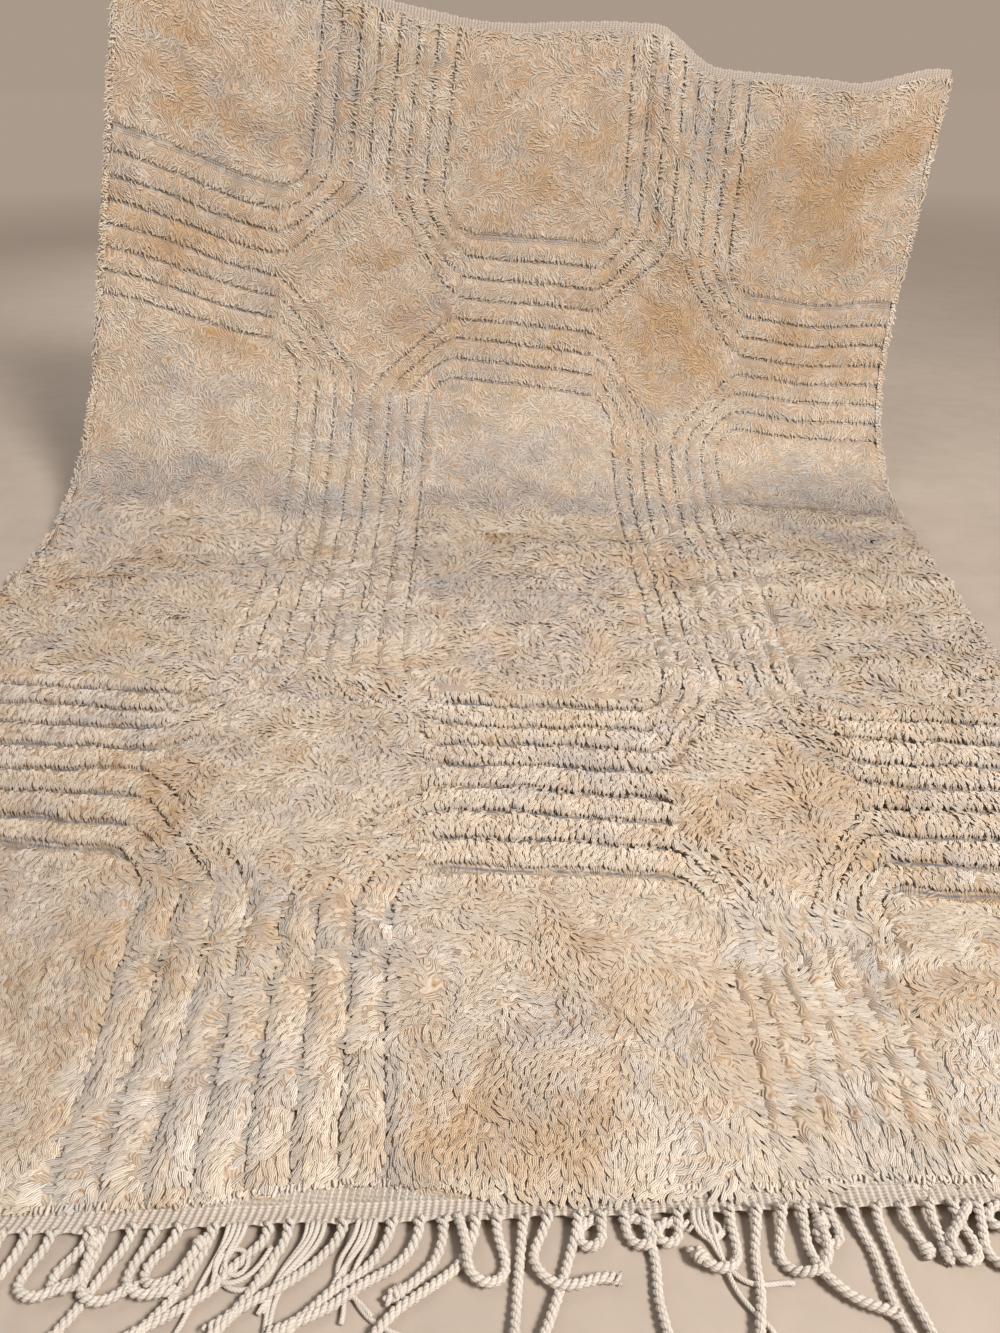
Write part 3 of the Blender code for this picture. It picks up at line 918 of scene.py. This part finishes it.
def layYarns(name, across, along, lay, sideBySide, material, chance):
    # a curved ribbon of yarns side by side, pointed at both ends, which lie under its neighbours
    stops = (0.22, 0.52, 0.80)
    spots = [(0.0, 0.0)] + [(stop, side) for stop in stops for side in (-1.0, 1.0)] + [(1.0, 0.0)]
    count, each = len(across), len(spots)
    t, side = (np.tile(column, (count, 1)) for column in zip(*spots))
    lay = {key: value if key == "shape" else value[:, None] for key, value in lay.items()}
    across, along = np.repeat(across[:, None], each, axis=1), np.repeat(along[:, None], each, axis=1)
    x, y, angle = curved(across, along, lay["heading"], lay["curl"], lay["reach"], t)
    half = side * lay["width"] / 2 * np.interp(t, (0.0, *stops, 1.0), (0.5, 0.95, 1.0, 0.95, 0.5))
    x = x - np.sin(angle) * np.cos(lay["roll"]) * half
    y = y + np.cos(angle) * np.cos(lay["roll"]) * half
    height = lay["base"] + np.interp(t, *lay["shape"]) * lay["relief"]
    if "follow" in lay:
        height += (pileTop(x, y, grooves(x, y)) - lay["follow"]) * 0.75
    height = np.maximum(height + lay["rise"] * t + np.sin(lay["roll"]) * half, 0.0012)
    points = drape(x, y, height)

    # shaded as round yarns
    near = 0.001
    ahead = drape(x + near * np.cos(angle), y + near * np.sin(angle), height) - points
    raised = height + near * np.sin(lay["roll"])
    aside = drape(x - near * np.sin(angle), y + near * np.cos(angle), raised) - points
    tilt = side[:, :, None] * yarn["rounding"] / min(sideBySide, 2)
    normals = unit(np.cross(ahead, aside)) * np.cos(tilt) + unit(aside) * np.sin(tilt)

    faces = ((0, 1, 2), (1, 3, 4, 2), (3, 5, 6, 4), (5, 7, 6))
    corners = np.arange(count)[:, None] * each + np.concatenate(faces)[None, :]
    counts = np.tile([len(face) for face in faces], count)
    made = addMesh(name, points.reshape(-1, 3), counts, corners.ravel(), material)
    ends = ease(t / 0.30) * ease((1.05 - t) / 0.30)
    values = {"ends": ends, "calm": lay["calm"] + np.zeros_like(t)}
    # painted shade: the shaded side of a ridge made greyer
    if "flankShadeGrey" in lay:
        grey = stained("grey", across[:, 0], along[:, 0])[:, None] + lay["flankShadeGrey"]
        values["grey"] = np.clip(grey, 0, 1) + np.zeros_like(t)
    # painted shade: tone darker towards each yarn's ends, where they dive under their neighbours
    addAttributes(made, across, along, lay["tone"] * (0.84 + 0.18 * ends), values)
    addMap(made, "strand", (side + 1) / 2 * sideBySide + chance.randint(0, 900, count)[:, None] * 3, t)
    made.data.normals_split_custom_set_from_vertices(normals.reshape(-1, 3))
    print("  ", name, count, "ribbons,", int(np.sum(counts - 2)), "triangles")
    return made


def makeYarns():
    chance = np.random.RandomState(yarn["seed"])
    material = yarnFinish("Pile yarn")
    made = []
    for index, (start, end, sideBySide, layers) in enumerate(yarn["pieces"], 1):
        across, along = yarnRoots(start, end, sideBySide, layers, chance)
        groove = grooves(across, along)
        edge = along - pileEnds(across)[0] - recess(across)
        keep = ~bare(groove, 1.0) & (edge > 0)
        across, along, edge = across[keep], along[keep], edge[keep]
        groove = {key: value[keep] for key, value in groove.items()}
        count, size, coarse = len(across), sizeAt(along), sideBySide == 1
        clump = nearestClump(across, along, yarn["clump"], 51)
        inRibs, inAlongRibs = inAcrossRibs(groove) > 0, groove["toA"] < carving["near"]
        inField = ~inAlongRibs & ~inRibs & (groove["toS"] > carving["near"])
        heading = flow(across, along, groove) + (clump[:, 0] - 0.5) * np.where(inField, 1.1, 0.6)
        heading += chance.normal(0.0, 0.26 if coarse else 0.15, count)
        curl = (clump[:, 3] - 0.5) * np.where(inRibs, 1.0, 2.6) + chance.normal(0.0, 0.40, count)
        curl += chance.choice((-1.3, 1.3), count) * (1.0 if coarse else 0.8 * inField)
        curl = notStraight(curl)
        reach = yarn["reach"] * size * (0.8 + 0.4 * chance.rand(count))
        free = freeReach(across, along, heading, curl, reach)
        relief = np.interp(along, *yarn["relief"]) * (1 - 0.60 * groove["soft"])
        relief *= np.where(inAlongRibs, 0.50, 1.0) * (1 - 0.5 * np.exp(-(edge / 0.035) ** 2))
        top, side = pileTop(across, along, groove), flank(groove)
        tone = blend(*yarn["tone"], chance.rand(count))
        # more uneven at the front left
        tone = 1 + (tone - 1) * (1 + 1.8 * ease((-0.40 - across) / 0.15) * fade((along - 0.40) / 0.15))
        # painted light and shade: paler on the lit side of a ridge, darker on its other side; also 6% paler
        # on the across ribs on the floor
        tone = tone * (0.94 + 0.12 * clump[:, 2]) * (1 + side) * (1 + 0.06 * inRibs * (1 - groove["hung"]))
        lay = {
            "heading": heading,
            "curl": curl * free,
            "reach": reach * free,
            "width": ribbonWidth(sideBySide) * size * (0.85 + 0.3 * chance.rand(count)),
            "base": top + (0.0012 * (clump[:, 1] - 0.5) + 0.0010 * (chance.rand(count) - 0.5)) * relief,
            "follow": top,
            "relief": relief,
            "rise": chance.normal(0.0, 0.0005, count),
            "roll": chance.normal(0.0, 0.13, count),
            "tone": tone,
            # painted shade on a ridge's shaded side
            "flankShadeGrey": np.clip(-2.0 * side, 0, 1),
            "calm": np.clip(groove["soft"] + 0.7 * inAlongRibs + np.exp(-(edge / 0.030) ** 2)
                            + 0.4 * groove["hung"], 0, 1),
        }
        keep = free > 0.31
        lay = {key: value[keep] for key, value in lay.items()}
        lay["shape"] = ((0.0, 0.22, 0.52, 0.80, 1.0), (-0.0036, -0.0002, 0.0014, 0.0010, -0.0024))
        name = f"pileYarn{index}"
        made.append(layYarns(name, across[keep], along[keep], lay, sideBySide, material, chance))
    return made


pileYarns = makeYarns()


print("rim yarn")

rimYarn = {
    "pace": 0.0034,
    "rows": (  # height, how far they drop, how far in from the edge they start
        (0.0070, 0.20, 0.008),
        (0.0120, 0.35, 0.008),
        (0.0165, 0.50, 0.009),
        (0.0192, 0.55, 0.011),
        (0.0212, 0.45, 0.015),
    ),
    "endsBelow": 0.013,    # only the rows below this height run along the ends too
    "reach": 0.0120,
}


def rimPlaces():
    # across, along, heading, height and drop of each yarn
    places = []
    for height, drop, inset in rimYarn["rows"]:
        for side, heading in ((-1.0, math.pi), (1.0, 0.0)):
            share = np.arange(0.0, 1.0, rimYarn["pace"] / rug["length"])
            across = np.full(len(share), side * (rug["halfWidth"] - inset))
            along = blend(*pileEnds(across), share)
            places.append(np.broadcast_arrays(across, along, heading, height, drop))
        if height > rimYarn["endsBelow"]:
            continue
        across = np.arange(-rug["halfWidth"], rug["halfWidth"], rimYarn["pace"])
        front, top = pileEnds(across)
        for along, heading in ((front + recess(across) + 0.005, -math.pi / 2), (top - 0.004, math.pi / 2)):
            places.append(np.broadcast_arrays(across, along, heading, height * 0.75, drop))
    return [np.concatenate(column) for column in zip(*places)]


def makeRim():
    # yarns that stand out round the rim, so that no cut side shows
    chance = np.random.RandomState(61)
    across, along, heading, height, drop = rimPlaces()
    count = len(across)
    atSide = np.abs(np.cos(heading)) > 0.5
    along = along + chance.uniform(-0.002, 0.002, count) * atSide
    curl = chance.normal(0.0, 0.9, count)
    lay = {
        "heading": heading + chance.normal(0.0, 0.40, count),
        "curl": notStraight(curl),
        "reach": rimYarn["reach"] * (0.6 + 0.7 * chance.rand(count)) * np.where(atSide, 1.0, 0.75),
        "width": yarn["width"] * (0.9 + 0.4 * chance.rand(count)) * np.where(atSide, sizeAt(along), 1.2),
        "base": height + chance.normal(0.0, 0.0008, count),
        "relief": np.where(atSide, drop, 0.25),
        "rise": chance.normal(-0.0005, 0.0010, count),
        "roll": chance.normal(0.0, 0.25, count),
        # paler at the sides: painted light against the shade on their outward faces
        "tone": blend(*yarn["tone"], chance.rand(count)) * np.where(atSide, 1.12, 1.0),
        "calm": np.ones(count),
        "shape": ((0.0, 0.35, 0.7, 1.0), (0.0, -0.0006, -0.0040, -0.0085)),
    }
    return layYarns("rimYarn", across, along, lay, 1, yarnFinish("Rim yarn"), chance)


rimYarns = makeRim()


print("headings")

heading = {
    "ribs": 266,
    "perRib": 4,           # faces across one rib
    "thickness": 0.0048,
    "rib": 0.0011,         # how high a rib stands
    "rowDepth": 0.0039,    # one woven row
    "fold": (  # how far from the edge, as a share of its depth, and how far up; the last ones lie below
        (1.60, 1), (1.0, 1), (0.75, 1), (0.50, 1), (0.25, 1), (0.07, 1),
        (0.0, 0.55), (0.07, 0), (0.5, 0), (1.0, 0),
    ),
    "scallop": (0.0012, 0.025),  # how far it reaches in and out at each cord, and their pace
    "lift": 0.0120,        # how far the front edge stands off the floor in places
    "cream": (0.675, 0.595, 0.515),
    "shade": (0.300, 0.225, 0.170),
}


def headingFinish(name):
    finish = newFinish(name, 0.9, 0.08, 0.2)
    uneven = finish.noise(finish.vector("rugPlace"), 160.0, 3.0, 0.6)
    valley = finish.value("rib").zigzag(0.5) * 2.0
    line = (finish.value("weftRow") + uneven * 0.5).zigzag(0.5) * 2.0
    dark = ((1.0 - line) ** 3.0 * 0.30 + valley ** 3.0 * 0.62).clamped()
    colour = finish.mix(dark, heading["cream"], heading["shade"])
    colour = finish.mix((finish.value("grey") * 0.35).clamped(), colour, wool["grey"])
    finish.give("Base Color", finish.scaled(colour, (uneven * 0.35 + 0.80) * finish.value("tone")))
    finish.bump(line * 0.4 - valley * 0.6 + uneven * 0.5, 0.0014, 0.9)
    return finish.owner


def makeHeading(name, atFront, material):
    # one sheet folded round the edge: ribbed on top, plain below
    columns = heading["ribs"] * heading["perRib"]
    share, upper = (np.array(column)[:, None] for column in zip(*heading["fold"]))
    across = np.linspace(-rug["halfWidth"], rug["halfWidth"], columns + 1)[None, :] + np.zeros_like(share)
    rib = across / (2 * rug["halfWidth"]) * heading["ribs"]
    edge = 1 - np.clip(share, 0, 1)
    deep, pace = heading["scallop"]
    wave = deep * np.cos(2 * math.pi * (across / pace + 0.5)) + 0.0018 * softNoise(across, 0, 0.05, 71)
    if atFront:
        along = frontEnd(across) + rug["heading"] * share - wave * edge
        lift = heading["lift"] * edge ** 1.4 * (0.60 + 0.7 * softNoise(across, 0, 0.13, 72)).clip(0.1, 1)
    else:
        along = topEnd(across) - rug["heading"] * share + wave * edge * 0.8
        lift = 0.0
    top = heading["thickness"] - 0.0012 + heading["rib"] * np.cos(2 * math.pi * rib)
    top = top + 0.0005 * softNoise(across, along, 0.02, 73) + np.where(share > 1.3, 0.0008, 0.0)
    counts, corners = gridFaces(columns, len(share) - 1)
    if atFront:
        corners = corners[:, ::-1]
    points = drape(across, along, lift + upper * top).reshape(-1, 3)
    made = addMesh(name, points, counts, corners.ravel(), material)
    row = share * rug["heading"] / heading["rowDepth"] + np.zeros_like(across)
    addAttributes(made, across, along, np.ones(across.size), {"rib": rib + 1000.0, "weftRow": row + 100.0})
    return made


headingWeave = headingFinish("Heading weave")
frontHeading = makeHeading("frontHeading", True, headingWeave)
heldHeading = makeHeading("heldHeading", False, headingWeave)


print("fringe cords")

fringe = {
    "pace": 0.025,
    "ply": 0.0030,         # radius of each of a cord's two plies
    "offset": 0.0027,      # from the cord's middle to a ply's
    "twist": 0.0145,       # length of one full turn
    "sides": 6,
    "step": 0.0027,
    "rootLift": 0.0110,    # how high a cord leaves the heading
    "looseYarns": 4,       # of a cord that has come apart, their radius and pace
    "looseRadius": 0.0026,
    "loosePace": 0.0055,
    "leans": ((-1.00, -8.0), (-0.40, -14.0), (-0.30, -18.0), (-0.10, -30.0), (0.06, -34.0),  # across, degrees
              (0.16, -8.0), (0.28, 0.0), (0.60, 12.0), (1.00, 14.0)),
    "kinds": {  # length, own lean, turn in degrees, where it starts, how long it takes, lift, end
        "long": (0.175, 3, 8, 0.30, 0.50, 0.003, "cut"),
        "hookRight": (0.112, -8, 124, 0.26, 0.62, 0.008, "cut"),
        "hookLeft": (0.112, 10, -124, 0.26, 0.62, 0.008, "knot"),
        "loopRight": (0.155, -12, 205, 0.20, 0.55, 0.009, "knot"),
        "loopLeft": (0.150, 14, -200, 0.20, 0.55, 0.009, "cut"),
        "sweep": (0.130, -16, 100, 0.08, 0.80, 0.007, "frayed"),
        "short": (0.055, 4, 20, 0.10, 0.60, 0.002, "knot"),
        "middle": (0.105, -4, -16, 0.20, 0.60, 0.002, "knot"),
        "curl": (0.088, 8, -250, 0.10, 0.80, 0.005, "frayed"),
        "curlRight": (0.088, -8, 250, 0.10, 0.80, 0.005, "cut"),
        "slant": (0.165, -16, -12, 0.20, 0.60, 0.003, "frayed"),
        "yarns": (0.150, -8, 34, 0.20, 0.60, 0.000, "yarns"),
        "tangle": (0.120, 0, 120, 0.10, 0.80, 0.004, "tangle"),
    },
    # one of the kinds for each cord, from the left end to the right
    "order": """
        long hookRight short loopLeft middle curl long slant hookRight short loopRight yarns long curl
        middle hookLeft long short loopRight slant curl hookRight long middle tangle short loopLeft middle
        hookRight loopRight hookRight long hookRight loopRight slant tangle slant slant yarns slant
        yarns slant slant middle slant loopLeft long sweep slant curl curlRight long curl tangle
        hookLeft long loopRight sweep curl long long short short loopLeft loopRight curl long hookRight
        short loopLeft middle slant curl long hookRight short loopRight yarns long curl
    """,
    "cream": (0.720, 0.650, 0.575),
    "shade": (0.270, 0.205, 0.155),
}


def cordFinish(name):
    finish = newFinish(name, 0.88, 0.10, 0.22)
    around, lengthwise, _ = finish.parts(finish.add("UVMap", {"uv_map": "strand"}))
    fibre = (around * 5.0 + lengthwise * 3.0).zigzag(0.5) * 2.0
    dust, fluff = finish.noise(finish.spot(), 30.0, 4.0), finish.noise(finish.spot(), 700.0)
    colour = finish.mix(finish.value("groovePart").clamped(), fringe["cream"], fringe["shade"])
    finish.give("Base Color", finish.scaled(colour, (dust * 0.30 + 0.80) * (fibre * 0.12 + 0.90)))
    finish.bump(fibre * 0.6 + fluff * 0.6, 0.0009, 0.8)
    return finish.owner


def frameAlong(line):
    # the run from the start of a line, and the ways ahead, aside and upward at its points
    run = summed(np.linalg.norm(np.diff(line, axis=0), axis=1))
    ahead = unit(np.gradient(line, axis=0))
    aside = np.cross(ahead, (0.0, 0.0, 1.0))
    aside[np.linalg.norm(aside, axis=1) < 0.05] = (1.0, 0.0, 0.0)
    aside = unit(aside)
    return run, ahead, aside, np.cross(aside, ahead)


def circled(turn, aside, upward):
    return np.cos(turn) * aside + np.sin(turn) * upward


class Tubes:
    # gathers round tubes and makes them one mesh
    def __init__(self, sides):
        self.sides, self.points, self.hollows, self.maps = sides, [], [], []
        self.faces, self.counts, self.total = [], [], 0

    def add(self, line, radius, core=None):
        sides, n = self.sides, len(line)
        run, _, aside, upward = frameAlong(line)
        turn = np.arange(sides) * 2 * math.pi / sides
        ring = circled(turn[None, :, None], aside[:, None, :], upward[:, None, :])
        points = line[:, None, :] + ring * np.broadcast_to(radius, (n,))[:, None, None]
        hollow = np.zeros((n, sides))
        if core is not None:
            # painted shade: darker where it lies deep between two plies
            away = np.linalg.norm(points - core[:, None, :], axis=2)
            hollow = 1 - np.clip((away - 0.0018) / 0.0026, 0, 1)
        first = self.total + np.arange(n - 1)[:, None] * sides
        start, after = first + np.arange(sides), first + (np.arange(sides) + 1) % sides
        quads = np.stack((start, after, after + sides, start + sides), axis=-1)
        caps = self.total + np.arange(sides)[::-1], self.total + (n - 1) * sides + np.arange(sides)
        self.faces += [quads.ravel(), *caps]
        self.counts += [4] * start.size + [sides, sides]
        self.points.append(points.reshape(-1, 3))
        self.hollows.append(hollow.ravel())
        around, lengthwise = np.broadcast_arrays(turn / (2 * math.pi), run[:, None] / 0.01)
        self.maps.append(np.stack((around, lengthwise), axis=-1).reshape(-1, 2))
        self.total += n * sides

    def make(self, name, material):
        points = np.concatenate(self.points)
        made = addMesh(name, points, np.array(self.counts), np.concatenate(self.faces), material)
        addMap(made, "strand", *np.concatenate(self.maps).T)
        low, high = points.min(axis=0), points.max(axis=0)
        u, v, _ = ((points - low) / (high - low) * 0.98 + 0.01).T
        addMap(made, "OFBake", u, v)
        addValues(made, "groovePart", np.concatenate(self.hollows))
        return made


def cordLine(root, length, ownLean, turn, turnStart, turnShare, lift, chance):
    # middle of a cord on the floor: out of the heading, along its lean, then round its own turn
    steps = max(int(length / fringe["step"]), 8)
    share = (np.arange(steps) + 0.5) / steps
    lean = math.radians(float(between(fringe["leans"], np.array(root))) * 0.8 + ownLean)
    late = ease((share - turnStart) / turnShare)
    kept = 1.0 - late * (abs(turn) > 45)
    bearing = lean * ease(share * length / 0.03) * kept + math.radians(turn) * late
    bearing += 0.30 * softNoise(share * length, root, 0.036, 81)
    stride = length / steps
    x, y = summed(np.sin(bearing)) * stride, -summed(np.cos(bearing)) * stride
    place = drape(root, frontEnd(root) + 0.002, 0.0)
    s = np.arange(steps + 1) / steps
    height = fringe["ply"] + fringe["offset"]
    height = height + lift * ease((s - turnStart - 0.10) / 0.25) * (1 - 0.6 * ease((s - 0.85) / 0.15))
    height = height + fringe["rootLift"] * chance.uniform(0.5, 1.0) * fade(s * length / 0.045)
    height = height + 0.0008 * softNoise(s * length, root * 3, 0.02, 82)
    return np.stack((place[0] + x, place[1] + y, height), axis=-1)


def addCord(tubes, line, end, phase):
    # two plies twisted round a line, thinner at its ends, and wider apart at the heading and where frayed
    run, ahead, aside, upward = frameAlong(line)
    left = run[-1] - run
    turn = 2 * math.pi * run / fringe["twist"] + phase
    offset = fringe["offset"] + 0.0018 * fade(run / 0.014)
    radius = fringe["ply"] * (0.86 + 0.14 * ease(run / 0.012))
    if end == "frayed":
        offset = offset + 0.0022 * fade(left / 0.018)
        radius = radius * (0.55 + 0.45 * ease(left / 0.014))
    else:
        radius = radius * (0.70 + 0.30 * ease(left / 0.004))
    for ply in (0.0, math.pi):
        middle = line + offset[:, None] * circled((turn + ply)[:, None], aside, upward)
        middle[:, 2] = np.maximum(middle[:, 2], radius)
        tubes.add(middle, radius, core=line)
    if end == "knot":
        # one end wound round the cord
        at = int(len(line) * 0.86)
        wound = np.linspace(0.0, 2 * math.pi * 2.2, 20)[:, None]
        wrap = line[at] + ahead[at] * ((wound / wound[-1] - 0.5) * 0.010)
        wrap = wrap + 0.0054 * circled(wound, aside[at], upward[at])
        wrap[:, 2] = np.maximum(wrap[:, 2], 0.003)
        tubes.add(wrap, 0.0027)


def makeFringe():
    chance = np.random.RandomState(91)
    tubes = Tubes(fringe["sides"])
    order = fringe["order"].split()
    first = -fringe["pace"] * (len(order) - 1) / 2
    for index, kind in enumerate(order):
        root = first + fringe["pace"] * index
        length, lean, turn, start, share, lift, end = fringe["kinds"][kind]
        length = length * (0.92 + 0.16 * chance.rand())
        lean, turn = lean + chance.normal(0.0, 8.0), turn * (0.82 + 0.32 * chance.rand())
        if end in ("yarns", "tangle"):
            # the cord's yarns left loose, side by side or in a snarl
            spread = 0.5 if end == "yarns" else 1.0
            for number in range(fringe["looseYarns"]):
                place = number - (fringe["looseYarns"] - 1) / 2
                line = cordLine(root + fringe["loosePace"] * place, length * (0.6 + 0.5 * chance.rand()),
                                lean + 3.0 * place + chance.normal(0.0, 9.0 * spread),
                                turn * chance.normal(1.0, 1.2 * spread), start, share, 0.0, chance)[::2]
                line[:, 2] += 0.0050 * spread * chance.rand() - 0.0018
                tubes.add(line, fringe["looseRadius"])
            continue
        line = cordLine(root + chance.normal(0.0, 0.0028), length, lean, turn, start, share, lift, chance)
        addCord(tubes, line, end, chance.rand() * 6.3)
    made = tubes.make("fringeCords", cordFinish("Fringe wool"))
    print("   fringe", sum(n - 2 for n in tubes.counts), "triangles")
    return made


fringeCords = makeFringe()


print("floor, light and camera")

view = {
    "place": (0.1256, -1.6146, 0.983),
    "pitch": 0.551,        # radians below level
    "yaw": 0.067,          # radians to the left
    "lens": 27.020255,     # millimetres, for a sensor 36 wide
}


def makeCamera():
    turned = (math.pi / 2 - view["pitch"], 0.0, view["yaw"])
    bpy.ops.object.camera_add(location=view["place"], rotation=turned)
    camera = bpy.context.object
    camera.data.sensor_width, camera.data.lens = 36.0, view["lens"]
    camera.data.clip_start, camera.data.clip_end = 0.05, 100.0
    bpy.context.scene.camera = camera


studio = {
    "floor": (0.460, 0.388, 0.325),
    "air": (0.400, 0.320, 0.255),
    "overhead": (0.110, 0.096, 0.084),
    "melt": (1.9, 6.5),    # from here the floor fades into a painted glow of the air's colour, and over what distance
    "lamps": (  # name, place, looks at, size, watts, colour
        ("key", (3.4, -3.0, 4.9), (0.0, -0.3, 0.2), 1.4, 525.0, (1.0, 0.955, 0.905)),
        ("fill", (-2.6, -1.6, 2.6), (0.0, 0.0, 0.4), 2.4, 19.0, (0.97, 0.97, 1.0)),
        ("behind", (-1.4, 4.4, 2.2), (0.0, 1.1, 0.5), 2.0, 70.0, (1.0, 0.97, 0.94)),
        ("above", (-0.6, 0.4, 3.6), (0.0, 0.2, 0.2), 2.2, 18.0, (1.0, 0.97, 0.94)),
    ),
}


def makeFloor():
    bpy.ops.object.select_all(action="DESELECT")
    bpy.ops.mesh.primitive_plane_add(size=60.0, location=(0.0, 0.0, 0.0))
    floor = bpy.context.object
    floor.name = "floor"
    finish = newFinish("Pale floor", 0.85, 0.0, 0.2, glow=1.0)
    place = finish.spot()
    cloud = finish.noise(place, 2.2, 5.0, 0.6) * 0.5 + finish.noise(place, 14.0, 5.0, 0.65) * 0.5
    away = finish.add("VectorMath", {"operation": "LENGTH"}, output=1, s0=place)
    start, over = studio["melt"]
    melted = ((away - start) * (1.0 / over)).clamped()
    black = (0.0, 0.0, 0.0)
    # far off, the floor fades to black and glows instead with the air's colour: painted light
    finish.give("Base Color", finish.mix(melted, finish.scaled(studio["floor"], cloud * 0.50 + 0.75), black))
    finish.give("Emission Color", finish.mix(melted, black, studio["air"]))
    floor.data.materials.append(finish.owner)


def makeLamps():
    for name, place, target, size, watts, colour in studio["lamps"]:
        bpy.ops.object.light_add(type="AREA", location=place)
        lamp = bpy.context.object
        lamp.name = name
        x, y, z = np.subtract(place, target)
        lamp.rotation_euler = (math.atan2(math.hypot(x, y), z), 0.0, math.atan2(y, x) + math.pi / 2)
        lamp.data.size, lamp.data.energy, lamp.data.color = size, watts, colour


def makeAir():
    # light near the horizon, dimmer overhead, so that shadows keep their depth
    air = Finish(bpy.data.worlds.new("Studio air"), "Background")
    upward = air.parts(air.add("TexCoord"))[2]
    fade = air.add("MapRange", {"interpolation_type": "SMOOTHSTEP"}, s0=upward, s1=0.02, s2=0.40)
    air.give("Color", air.mix(fade, studio["air"], studio["overhead"]))
    bpy.context.scene.world = air.owner
    bpy.context.scene.view_settings.view_transform = "Standard"


makeCamera()
makeFloor()
makeLamps()
makeAir()

print("dressing the frame")
dress(wovenGround, "wool_pile", "pile_cloth")
for piece in (bed, rimYarns, *pileYarns):
    dress(piece, "wool_pile")
dress(heldHeading, "heading_weave", "top_heading")
dress(frontHeading, "fringe_wool", "front_heading_fringe")
dress(fringeCords, "fringe_wool")
